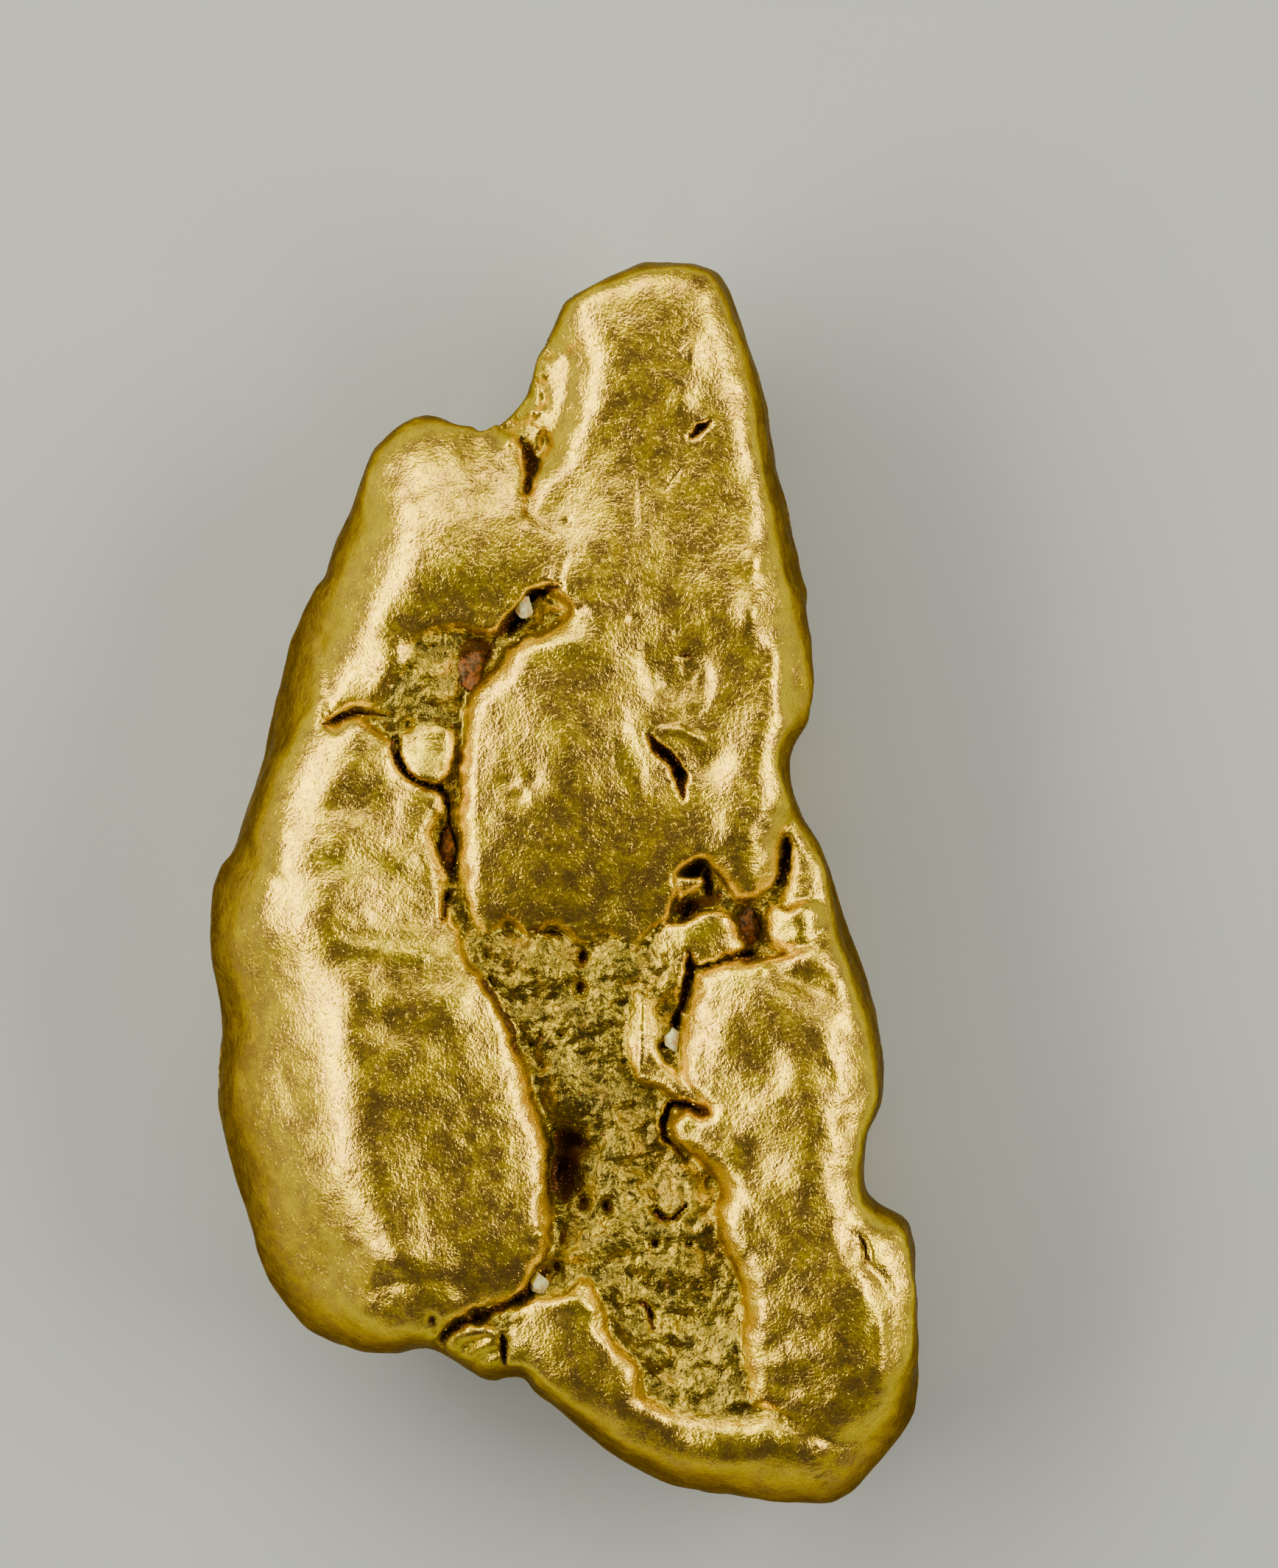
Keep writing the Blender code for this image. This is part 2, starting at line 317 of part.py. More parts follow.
# What is caught in the clefts: name, material, x, y, z of its middle, and half sizes.
GRAINS = [
    ("quartz_grain_shoulder", "quartz", (-0.93, 6.62, 6.62), (0.24, 0.3, 0.34)),
    ("quartz_grain_valley", "quartz", (2.62, -3.72, 6.2), (0.2, 0.32, 0.34)),
    ("quartz_grain_lower", "quartz", (-0.6, -9.62, 5.95), (0.28, 0.3, 0.4)),
    ("vein_stone_pocket", "vein_stone", (-2.15, 5.2, 6.1), (0.45, 0.62, 0.36)),
    ("vein_stone_cleft", "vein_stone", (4.45, -1.02, 5.72), (0.34, 0.6, 0.36)),
    ("vein_stone_crevice", "vein_stone", (-2.76, 0.85, 6.05), (0.2, 0.6, 0.4)),
]


def clear_scene():
    """Removes every object that the file starts with."""
    for obj in list(bpy.data.objects):
        bpy.data.objects.remove(obj, do_unlink=True)


def collection(name):
    """A new collection in the scene."""
    made = bpy.data.collections.new(name)
    bpy.context.scene.collection.children.link(made)
    return made


def material(name, colour, roughness, metallic):
    """A plain material of one colour."""
    made = bpy.data.materials.new(name)
    made.use_nodes = True
    shader = made.node_tree.nodes["Principled BSDF"]
    shader.inputs["Base Color"].default_value = (*colour, 1.0)
    shader.inputs["Roughness"].default_value = roughness
    shader.inputs["Metallic"].default_value = metallic
    made.diffuse_color = (*colour, 1.0)
    return made


# --- Lines and distances in the plan, in millimetres ---------------------------------------


def smooth_line(points, closed):
    """A Catmull-Rom line through the points, with the values after x and y carried along."""
    points = np.asarray(points, float)
    if closed:
        before, start, end, after = (np.roll(points, shift, axis=0) for shift in (1, 0, -1, -2))
    else:
        ends = 2 * points[0] - points[1], 2 * points[-1] - points[-2]
        padded = np.vstack([ends[0], points, ends[1]])
        before, start, end, after = padded[:-3], padded[1:-2], padded[2:-1], padded[3:]
    t = (np.arange(LINE_STEPS) / LINE_STEPS)[None, :, None]
    before, start, end, after = (side[:, None, :] for side in (before, start, end, after))
    line = start + 0.5 * t * (end - before)
    line = line + t**2 * (before - 2.5 * start + 2 * end - 0.5 * after)
    line = line + t**3 * (1.5 * (start - end) + 0.5 * (after - before))
    line = line.reshape(-1, points.shape[1])
    return line if closed else np.vstack([line, points[-1]])


def distance_to_line(plan, line, closed):
    """Each plan point's distance to the line, and the line's values where it is nearest."""
    starts = line if closed else line[:-1]
    ends = np.roll(line, -1, axis=0) if closed else line[1:]
    nearest = np.full(len(plan), np.inf)
    values = np.zeros((len(plan), line.shape[1]))
    for start, end in zip(starts, ends):
        run = end[:2] - start[:2]
        along = np.clip((plan - start[:2]) @ run / max(run @ run, 1e-12), 0, 1)
        away = np.linalg.norm(plan - start[:2] - along[:, None] * run, axis=1)
        closer = away < nearest
        nearest[closer] = away[closer]
        values[closer] = start + (end - start) * along[closer, None]
    return nearest, values


def inside_line(plan, line):
    """True for each plan point that the closed line goes round."""
    x, y = plan.T
    crossings = np.zeros(len(plan), bool)
    for (x0, y0), (x1, y1) in zip(line[:, :2], np.roll(line, -1, axis=0)[:, :2]):
        if y0 != y1:
            crossings ^= ((y0 > y) != (y1 > y)) & (x < (x1 - x0) * (y - y0) / (y1 - y0) + x0)
    return crossings


def near_line(plan, line, margin):
    """Indices of the plan points in the line's box, widened by the margin."""
    low = line[:, :2].min(axis=0) - margin
    high = line[:, :2].max(axis=0) + margin
    return np.flatnonzero(((plan >= low) & (plan <= high)).all(axis=1))


def plate_basis(plan, spots):
    """The bending shapes of a thin plate held at the spots."""
    squares = ((plan[:, None, :] - spots[None, :, :2]) ** 2).sum(axis=2)
    bends = 0.5 * squares * np.log(squares + 1e-9)
    return np.hstack([bends, np.ones((len(plan), 1)), plan])


def spot_surface(plan, spots):
    """Heights, at the plan points, of a thin plate bent through the spot heights."""
    spots = np.asarray(spots, float)
    count = len(spots)
    system = np.zeros((count + 3, count + 3))
    system[:count] = plate_basis(spots[:, :2], spots)
    system[:count, :count] += LOBE_SMOOTHING * np.eye(count)
    system[count:, :count] = system[:count, count:].T
    weights = np.linalg.solve(system, np.append(spots[:, 2], np.zeros(3)))
    return plate_basis(plan, spots) @ weights


def swell(plan, period, seed):
    """Smooth gradient noise, from about -1 to 1, on a grid turned by its seed."""
    cosine, sine = math.cos(seed * 0.7), math.sin(seed * 0.7)
    grid = plan @ np.array([[cosine, sine], [-sine, cosine]]) / period + seed * 17.31
    cell = np.floor(grid)
    part = grid - cell
    ease = part**3 * (part * (part * 6 - 15) + 10)

    def corner(i, j):
        phase = (cell[:, 0] + i) * 127.1 + (cell[:, 1] + j) * 311.7 + seed * 74.7
        angle = math.tau * np.modf(np.sin(phase) * 43758.5453)[0]
        return np.cos(angle) * (part[:, 0] - i) + np.sin(angle) * (part[:, 1] - j)

    low = corner(0, 0) + (corner(1, 0) - corner(0, 0)) * ease[:, 0]
    high = corner(0, 1) + (corner(1, 1) - corner(0, 1)) * ease[:, 0]
    return 1.5 * (low + (high - low) * ease[:, 1])


def swells(plan, table, seed):
    """The sum of a table's swells, each with a seed of its own."""
    return sum(height * swell(plan, period, seed + i) for i, (period, height) in enumerate(table))


def smooth_step(values, low, high):
    """A mask that goes smoothly from 0 at low to 1 at high."""
    t = np.clip((values - low) / (high - low), 0, 1)
    return t * t * (3 - 2 * t)


# --- The relief ------------------------------------------------------------------------------


def lobe_surface(plan, lobe):
    """A lobe's height: its top, turned down in a quarter round at its edge, then a steep wall."""
    height = np.full(len(plan), -np.inf)
    line = smooth_line(lobe.edge, closed=True)
    picked = near_line(plan, line, WALL_REACH)
    away, values = distance_to_line(plan[picked], line, closed=True)
    radius = np.maximum(values[:, 2], SMALLEST_RADIUS)
    within = inside_line(plan[picked], line)
    turn = 1 - np.clip(np.where(within, away, 0) / radius, 0, 1)
    top = spot_surface(plan[picked], lobe.spots) - radius * (1 - np.sqrt(1 - turn**2))
    height[picked] = np.where(within, top, top - WALL_SLOPE * away)
    return height


def blended_top(low, high):
    """The higher of two surfaces, with a small fillet where they meet."""
    gap = np.abs(np.maximum(high, low - 1) - low)
    return np.maximum(low, high) + np.maximum(FILLET - gap, 0) ** 2 / (4 * FILLET)


def cleft_depth(plan, cleft):
    """Depth of a cleft that follows a line, rounded across and fading out at its half width."""
    line = smooth_line(cleft, closed=False)
    depth = np.zeros(len(plan))
    picked = near_line(plan, line, line[:, 2].max())
    away, values = distance_to_line(plan[picked], line, closed=False)
    depth[picked] = values[:, 3] * (1 - np.clip(away / values[:, 2], 0, 1) ** 2) ** 2
    return depth


def hollow_depth(plan, x, y, half_long, half_wide, turn, depth):
    """Depth of a soft oval hollow, its long way turned from +X by the given degrees."""
    cosine, sine = math.cos(math.radians(turn)), math.sin(math.radians(turn))
    dx, dy = plan[:, 0] - x, plan[:, 1] - y
    along = (dx * cosine + dy * sine) / half_long
    across = (dy * cosine - dx * sine) / half_wide
    return depth * np.exp(-SPOT_FALL * (along**2 + across**2))


def front_height(plan):
    """The front: the lobes blended over the valley's floor, then swells, clefts and hollows."""
    floor = spot_surface(plan, FLOOR)
    height = floor
    for lobe in LOBES:
        height = blended_top(height, lobe_surface(plan, lobe))
    rough = smooth_step(height - floor, ROUGH_FROM, ROUGH_TO)
    height = height + swells(plan, SWELLS, FRONT_SEED)
    height = height + rough * swells(plan, FLOOR_SWELLS, FLOOR_SEED)
    height = height - sum(cleft_depth(plan, cleft) for cleft in CLEFTS)
    return height - sum(hollow_depth(plan, *hollow) for hollow in HOLLOWS)


def back_height(plan):
    """The back: one smooth swell with hollows."""
    height = spot_surface(plan, BACK) + swells(plan, BACK_SWELLS, BACK_SEED)
    return height + sum(hollow_depth(plan, *hollow) for hollow in BACK_HOLLOWS)


# --- The nugget --------------------------------------------------------------------------------


def mesh_of(obj, name):
    """The object's mesh with its modifiers carried out. The object itself is removed."""
    graph = bpy.context.evaluated_depsgraph_get()
    mesh = bpy.data.meshes.new_from_object(obj.evaluated_get(graph), depsgraph=graph)
    mesh.name = name
    bpy.data.objects.remove(obj, do_unlink=True)
    return mesh


def plan_plate(rim_line):
    """A thin plate of the nugget's plan, meshed evenly, as the mesh to be shaped."""
    curve = bpy.data.curves.new("plan", "CURVE")
    curve.dimensions = "2D"
    curve.fill_mode = "BOTH"
    curve.extrude = PLATE_THICKNESS / 2
    spline = curve.splines.new("POLY")
    spline.points.add(len(rim_line) - 1)
    for point, (x, y) in zip(spline.points, rim_line[:, :2] * MM):
        point.co = (x, y, 0, 1)
    spline.use_cyclic_u = True
    outline = bpy.data.objects.new("plan", curve)
    bpy.context.scene.collection.objects.link(outline)
    solid = bpy.data.objects.new("plate", mesh_of(outline, "plate"))
    bpy.context.scene.collection.objects.link(solid)
    remesh = solid.modifiers.new("even points", "REMESH")
    remesh.mode = "VOXEL"
    remesh.voxel_size = PLATE_VOXEL
    return mesh_of(solid, "gold_nugget")


def rim_radius(plan):
    """The roll's radius, taken from the rim points near each plan point."""
    rim = np.asarray(RIM)
    squares = ((plan[:, None, :] - rim[None, :, :2]) ** 2).sum(axis=2)
    weights = 1 / (squares + RADIUS_REACH) ** 2
    return np.maximum((weights @ rim[:, 2]) / weights.sum(axis=1), SMALLEST_RADIUS)


def roll_rim(plan, rim_line):
    """Moves plan points out towards the rim. Also gives how far round each has rolled, and the radius."""
    away, nearest = distance_to_line(plan, rim_line, closed=True)
    away = np.where(inside_line(plan, rim_line), away, 0)
    radius = rim_radius(plan)
    turn = np.clip(away / radius, 0, 1) * math.pi / 2
    moved = np.where(away < radius, radius * (1 - np.cos(turn)), away)
    share = (moved / np.maximum(away, 1e-6))[:, None]
    return nearest[:, :2] + (plan - nearest[:, :2]) * share, np.sin(turn), radius


def side_reach(full, rolled, radius):
    """How far a surface stands from the rim: a round shoulder, then a steep side."""
    high = np.abs(full)
    shoulder = np.minimum(radius, high)
    across = np.sqrt(np.clip(1 - rolled**2, 0, 1))
    drop = shoulder * (1 - rolled) + (high - shoulder) * across**SIDE_POWER
    return np.sign(full) * (high - drop)


def read(items, name, width, kind):
    """A mesh's values by name, one item a row."""
    values = np.empty(len(items) * width, kind)
    items.foreach_get(name, values)
    return values.reshape(-1, width)


def split_sides(mesh, rim_line):
    """Halves the plate's edges that the roll will stretch."""
    for _ in range(SPLIT_PASSES):
        points = read(mesh.vertices, "co", 3, float) / MM
        plan, rolled, radius = roll_rim(points[:, :2], rim_line)
        reach = side_reach(np.full(len(plan), RIM_HEIGHT / MM), rolled, radius)
        placed = np.column_stack([plan, reach * np.sign(points[:, 2])])
        first, second = read(mesh.edges, "vertices", 2, int).T
        level = points[first, 2] * points[second, 2] > 0
        stretched = np.linalg.norm(placed[first] - placed[second], axis=1) > LONGEST_SIDE_EDGE
        shape = bmesh.new()
        shape.from_mesh(mesh)
        shape.edges.ensure_lookup_table()
        chosen = [shape.edges[index] for index in np.flatnonzero(level & stretched)]
        bmesh.ops.subdivide_edges(shape, edges=chosen, cuts=1)
        shape.to_mesh(mesh)
        shape.free()


def smoothed(values, edges, passes):
    """The values, each averaged with its neighbours along the mesh's edges."""
    count = len(values)
    first, second = edges.T
    neighbours = np.bincount(first, minlength=count) + np.bincount(second, minlength=count)
    for _ in range(passes):
        total = np.bincount(first, values[second], count) + np.bincount(second, values[first], count)
        values = np.where(values > 0, (values + total / neighbours) / 2, 0)
    return values


def dents(points):
    """Shifts that dent the sides, each along an axis and read from the plane across it."""
    planes = [(1, 2), (2, 0), (0, 1)]
    shifts = []
    for axis, plane in enumerate(planes):
        seed = DENT_SEED + DENT_SEED_STEP * axis
        shifts.append(swells(points[:, plane], SIDE_DENTS, seed))
    return np.column_stack(shifts)


def shape_nugget(mesh, rim_line):
    """Moves the plate's points to the front, the back and the rolled rim."""
    points = read(mesh.vertices, "co", 3, float) / MM
    edges = read(mesh.edges, "vertices", 2, int)
    plan, rolled, radius = roll_rim(points[:, :2], rim_line)
    rolled = smoothed(rolled, edges, ROLL_SMOOTHING)
    rim = RIM_HEIGHT / MM + swells(plan, RIM_SWELLS, RIM_SEED)
    rim = rim + RIM_RISE * smooth_step(plan[:, 1], RISE_FROM, RISE_TO)
    front = points[:, 2] > 0
    full = np.where(front, front_height(plan), back_height(plan)) - rim
    side = points[:, 2] * (rolled == 0)
    points = np.column_stack([plan, rim + side_reach(full, rolled, radius) + side])
    points += dents(points) * smooth_step(rolled, SIDE_FROM, SIDE_TO)[:, None]
    mesh.vertices.foreach_set("co", (points * MM).ravel())
    mesh.update()


def cutter_object(name, mesh, cutters):
    """A helper that cuts others and doesn't show in a render."""
    cutter = bpy.data.objects.new(name, mesh)
    cutter.display_type = "WIRE"
    cutter.hide_render = True
    cutters.objects.link(cutter)
    return cutter


def cut(obj, cutter):
    """Takes the cutter out of the object."""
    boolean = obj.modifiers.new(cutter.name, "BOOLEAN")
    boolean.operation = "DIFFERENCE"
    boolean.object = cutter


def build_nugget(parts, cutters, gold):
    """The gold itself, thinned to its facets and cut flat where it rests."""
    rim_line = smooth_line(RIM, closed=True)
    mesh = plan_plate(rim_line)
    split_sides(mesh, rim_line)
    shape_nugget(mesh, rim_line)
    nugget = bpy.data.objects.new("gold_nugget", mesh)
    parts.objects.link(nugget)
    mesh.materials.append(gold)
    thin = nugget.modifiers.new("facets", "DECIMATE")
    thin.ratio = FACETS_KEPT
    block = bmesh.new()
    bmesh.ops.create_cube(block, size=1)
    bmesh.ops.scale(block, vec=WORN_BLOCK, verts=block.verts)
    bmesh.ops.translate(block, vec=(0, 0, -WORN_BLOCK[2] / 2), verts=block.verts)
    worn = bpy.data.meshes.new("worn_flat")
    block.to_mesh(worn)
    block.free()
    cut(nugget, cutter_object("worn_flat", worn, cutters))
    return nugget


# --- What is caught in its clefts ---------------------------------------------------------------


def grain_mesh(name, half_sizes, grow, seed):
    """A rough pebble. Grown by the socket's gap, the same pebble cuts its own socket."""
    shape = bmesh.new()
    bmesh.ops.create_icosphere(shape, subdivisions=PEBBLE_SPLITS, radius=1)
    chips = np.random.default_rng(seed).uniform(CHIP_LEAST, CHIP_MOST, len(shape.verts))
    for vertex, chip in zip(shape.verts, chips):
        vertex.co = [vertex.co[i] * (half_sizes[i] * MM * chip + grow) for i in range(3)]
    mesh = bpy.data.meshes.new(name)
    shape.to_mesh(mesh)
    shape.free()
    return mesh


def build_grain(index, entry, nugget, parts, cutters, materials):
    """A caught grain, and the socket that it leaves in the gold."""
    name, kind, middle, half_sizes = entry
    place = Matrix.Translation(Vector(middle) * MM)
    grain = bpy.data.objects.new(name, grain_mesh(name, half_sizes, 0, index))
    grain.matrix_world = place
    grain.data.materials.append(materials[kind])
    parts.objects.link(grain)
    socket = cutter_object(f"{name}_socket", grain_mesh(name, half_sizes, SOCKET_GAP, index), cutters)
    socket.matrix_world = place
    cut(nugget, socket)


def main():
    """Builds the nugget and the grains that its clefts hold."""
    clear_scene()
    parts = collection("gold nugget")
    cutters = collection("cutters")
    materials = {
        "gold": material("gold", (0.72, 0.50, 0.10), 0.32, 1.0),
        "quartz": material("quartz", (0.62, 0.60, 0.55), 0.35, 0.0),
        "vein_stone": material("vein_stone", (0.16, 0.05, 0.02), 0.6, 0.0),
    }
    nugget = build_nugget(parts, cutters, materials["gold"])
    for index, entry in enumerate(GRAINS):
        build_grain(index, entry, nugget, parts, cutters, materials)


main()
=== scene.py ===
"""The looks of a gold nugget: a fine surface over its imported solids, its finishes, and a plain studio.

The nugget lies on its back. Its front is a set of lobes over a rough floor, cut by clefts where
quartz and rusty vein stone are caught. Tables are in millimetres on its plan, +X to the right of
the front and +Y towards the narrow end. Everything that is built is in metres.
"""

from __future__ import annotations

import logging
import math
from dataclasses import dataclass, field
from enum import Enum, IntEnum
from typing import Sequence

import bmesh
import bpy
import numpy as np
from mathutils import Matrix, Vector
from mathutils.kdtree import KDTree

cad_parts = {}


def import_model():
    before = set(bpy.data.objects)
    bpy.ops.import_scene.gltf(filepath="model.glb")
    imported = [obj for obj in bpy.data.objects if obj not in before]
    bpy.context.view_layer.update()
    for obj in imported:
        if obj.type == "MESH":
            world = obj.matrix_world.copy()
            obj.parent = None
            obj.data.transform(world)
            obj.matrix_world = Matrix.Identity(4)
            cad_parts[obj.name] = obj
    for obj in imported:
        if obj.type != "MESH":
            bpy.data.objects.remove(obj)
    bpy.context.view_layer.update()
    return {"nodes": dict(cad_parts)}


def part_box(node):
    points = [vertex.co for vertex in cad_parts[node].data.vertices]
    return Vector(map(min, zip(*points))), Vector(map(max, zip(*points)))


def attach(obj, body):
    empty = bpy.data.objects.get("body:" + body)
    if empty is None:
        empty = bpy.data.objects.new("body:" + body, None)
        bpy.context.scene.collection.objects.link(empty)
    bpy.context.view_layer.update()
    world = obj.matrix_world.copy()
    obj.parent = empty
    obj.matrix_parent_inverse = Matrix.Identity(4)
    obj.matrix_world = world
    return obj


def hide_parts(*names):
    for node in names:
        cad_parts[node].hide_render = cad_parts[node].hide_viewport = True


MM = 0.001
BODY = "root"

Rows = Sequence[tuple[float, ...]]
Colour = tuple[float, float, float, float]

log = logging.getLogger("nugget")


# --- Shader graphs ---------------------------------------------------------------------------

NOISE_ROUGHNESS = 0.6
NOISE_MIDDLE = 0.5
# The Mix node's sockets for colours: its share, its two colours, and what it gives out.
MIX_SHARE = 0
MIX_LOW = 6
MIX_HIGH = 7
MIX_RESULT = 2


class Value:
    """A socket that gives out a number, with Python's operators as Math nodes."""

    def __init__(self, graph: Graph, socket: bpy.types.NodeSocket) -> None:
        """Wraps a socket.

        Args:
            graph: The graph that the socket's node belongs to.
            socket: The output socket.
        """
        self.graph = graph
        self.socket = socket

    def _math(self, operation: str, first: object, second: object) -> Value:
        """A Math node on two values or numbers."""
        return self.graph.node("ShaderNodeMath", {"operation": operation}, {0: first, 1: second})

    def __add__(self, other: object) -> Value:
        """The sum."""
        return self._math("ADD", self, other)

    def __radd__(self, other: object) -> Value:
        """The sum, with the number first."""
        return self._math("ADD", other, self)

    def __sub__(self, other: object) -> Value:
        """The difference."""
        return self._math("SUBTRACT", self, other)

    def __rsub__(self, other: object) -> Value:
        """The difference, with the number first."""
        return self._math("SUBTRACT", other, self)

    def __mul__(self, other: object) -> Value:
        """The product."""
        return self._math("MULTIPLY", self, other)

    def __rmul__(self, other: object) -> Value:
        """The product, with the number first."""
        return self._math("MULTIPLY", other, self)

    def above(self, low: float, high: float) -> Value:
        """A smooth mask that rises from 0 at low to 1 at high.

        Args:
            low: Where the mask starts to rise.
            high: Where the mask is full.

        Returns:
            The mask.
        """
        settings = {"interpolation_type": "SMOOTHSTEP"}
        inputs = {"Value": self, "From Min": low, "From Max": high, "To Min": 0.0, "To Max": 1.0}
        return self.graph.node("ShaderNodeMapRange", settings, inputs)


@dataclass(frozen=True)
class Patches:
    """Soft patches of a surface.

    Args:
        scale: Cells of their noise in a metre.
        detail: Octaves of the noise.
        low: The noise at which a patch starts.
        high: The noise at which it is full.
    """

    scale: float
    detail: float
    low: float
    high: float


class Graph:
    """A material's node tree, written as expressions."""

    def __init__(self, name: str) -> None:
        """Starts a material with a Principled shader and nothing else.

        Args:
            name: The material's name.
        """
        self.material = bpy.data.materials.new(name)
        self.material.use_nodes = True
        self.tree = self.material.node_tree
        self.shader = self.tree.nodes["Principled BSDF"]
        self.place = self.node("ShaderNodeTexCoord", {}, {}, "Object")

    def node(self, kind: str, settings: dict, inputs: dict, output: object = 0) -> Value:
        """Adds a node, sets it up and joins it.

        Args:
            kind: The node's type.
            settings: Its properties, set before its sockets.
            inputs: Values or links, by the socket's name or number.
            output: The name or number of the socket to return.

        Returns:
            The chosen output.
        """
        made = self.tree.nodes.new(kind)
        for name, setting in settings.items():
            setattr(made, name, setting)
        for name, value in inputs.items():
            self.join(made.inputs[name], value)
        return Value(self, made.outputs[output])

    def join(self, socket: bpy.types.NodeSocket, value: object) -> None:
        """Links a Value to an input socket, or sets a plain value on it.

        Args:
            socket: The input socket.
            value: What it gets.
        """
        if isinstance(value, Value):
            self.tree.links.new(value.socket, socket)
        else:
            socket.default_value = value

    def noise(
        self, scale: float, detail: float, stretch: Sequence[float] = (1, 1, 1), turn: float = 0.0
    ) -> Value:
        """Noise over the object's own coordinates.

        Args:
            scale: Cells in a metre.
            detail: Octaves of the noise.
            stretch: Scale along each axis, after the turn.
            turn: Turn about Z in degrees.

        Returns:
            The noise, from 0 to 1.
        """
        rotation = (0, 0, math.radians(turn))
        mapping = {"Vector": self.place, "Scale": tuple(stretch), "Rotation": rotation}
        vector = self.node("ShaderNodeMapping", {}, mapping)
        inputs = {"Vector": vector, "Scale": scale, "Detail": detail, "Roughness": NOISE_ROUGHNESS}
        return self.node("ShaderNodeTexNoise", {}, inputs)

    def patches(self, look: Patches) -> Value:
        """The mask of some patches."""
        return self.noise(look.scale, look.detail).above(look.low, look.high)

    def cells(self, scale: float) -> Value:
        """How far each place is from the middle of its grain, with this many grains in a metre."""
        return self.node("ShaderNodeTexVoronoi", {}, {"Vector": self.place, "Scale": scale}, "Distance")

    def attribute(self, name: str) -> Value:
        """A number that the mesh carries at its points."""
        return self.node("ShaderNodeAttribute", {"attribute_name": name}, {}, "Fac")

    def blend(self, share: Value, low: object, high: object) -> Value:
        """Two colours mixed by a share.

        Args:
            share: How much of the second colour there is, 0 to 1.
            low: A colour or a Value, at share 0.
            high: A colour or a Value, at share 1.

        Returns:
            The colour.
        """
        settings = {"data_type": "RGBA", "blend_type": "MIX", "clamp_factor": True}
        inputs = {MIX_SHARE: share, MIX_LOW: low, MIX_HIGH: high}
        return self.node("ShaderNodeMix", settings, inputs, MIX_RESULT)

    def bump(self, *heights: tuple[Value, float]) -> Value:
        """Bumps that stand on each other.

        Args:
            *heights: Each one's height from 0 to 1, and what 1 stands for in metres.

        Returns:
            The normal.
        """
        below = {}
        for height, rise in heights:
            inputs = {"Height": height, "Distance": rise, "Strength": 1.0, **below}
            below = {"Normal": self.node("ShaderNodeBump", {}, inputs)}
        return below["Normal"]

    def finish(self, **inputs: object) -> bpy.types.Material:
        """Sets the shader's sockets.

        Args:
            **inputs: Values by socket name, with _ for a space.

        Returns:
            The material.
        """
        for name, value in inputs.items():
            self.join(self.shader.inputs[name.replace("_", " ")], value)
        return self.material


# --- Lines, plates and swells on the plan, in millimetres -------------------------------------

SPAN_STEPS = 16  # Steps that a smooth line takes from one of its points to the next.
LEAST_RUN = 1e-12  # Keeps a division finite on a segment without length.
LEAST_SQUARE = 1e-9  # Keeps a plate's logarithm finite at its spots.
LEAST_AWAY = 1e-6  # Keeps a division finite at the rim.
LEAST_RADIUS = 0.05  # The sharpest that an edge turns down.
PLATE_GIVE = 0.02  # How far a plate may pass by its spots.
SEED_TURN = 0.7  # How much each seed turns a swell's grid, in radians.
SEED_SHIFT = 17.31  # How much each seed shifts it, in cells.
HASH_STEPS = (127.1, 311.7, 74.7)  # A corner's phase for each column, each row and each seed.
HASH_SCALE = 43758.5453  # Makes the phase's sine as good as random.
SWELL_RISE = 1.5  # Takes a swell to about -1 to 1.
SPOT_FALL = 1.2  # How fast a spot fades.
CLEFT_FILL = 0.85  # Share of its half width that a cleft fills.
NOWHERE = -99.0  # The height of a lobe where there is none.
WALL_REACH = 1.0  # How far past its edge a lobe's wall is followed.
SLUMP_PERIOD = 1.6  # Distance between the places where a wall is slumped.
SLUMP_BAND = (-0.5, 0.2)  # The swell where a wall is fully slumped, and where it is steep.
SLUMPED = 0.3  # Steepness that is left to a slumped wall.
AXIS_STEP = 7  # What the seed of the sides' dents goes up by from axis to axis.
LEVEL = 0.01  # The rise of a plate's edge that still lies in one of its faces.


class Seed(IntEnum):
    """What each noise starts from. A table of swells also takes the numbers after its own."""

    FRONT = 1
    KNOCK_X = 3
    KNOCK_Y = 4
    FLOOR = 5
    BACK = 9
    BROAD = 20
    DENT = 21
    RIM = 21
    WOBBLE_X = 31
    WOBBLE_Y = 41
    PIT = 71
    SLUMP = 81
    FLOOR_EDGE = 83
    GRANULAR = 87
    DRIFT_X = 91
    DRIFT_Y = 95


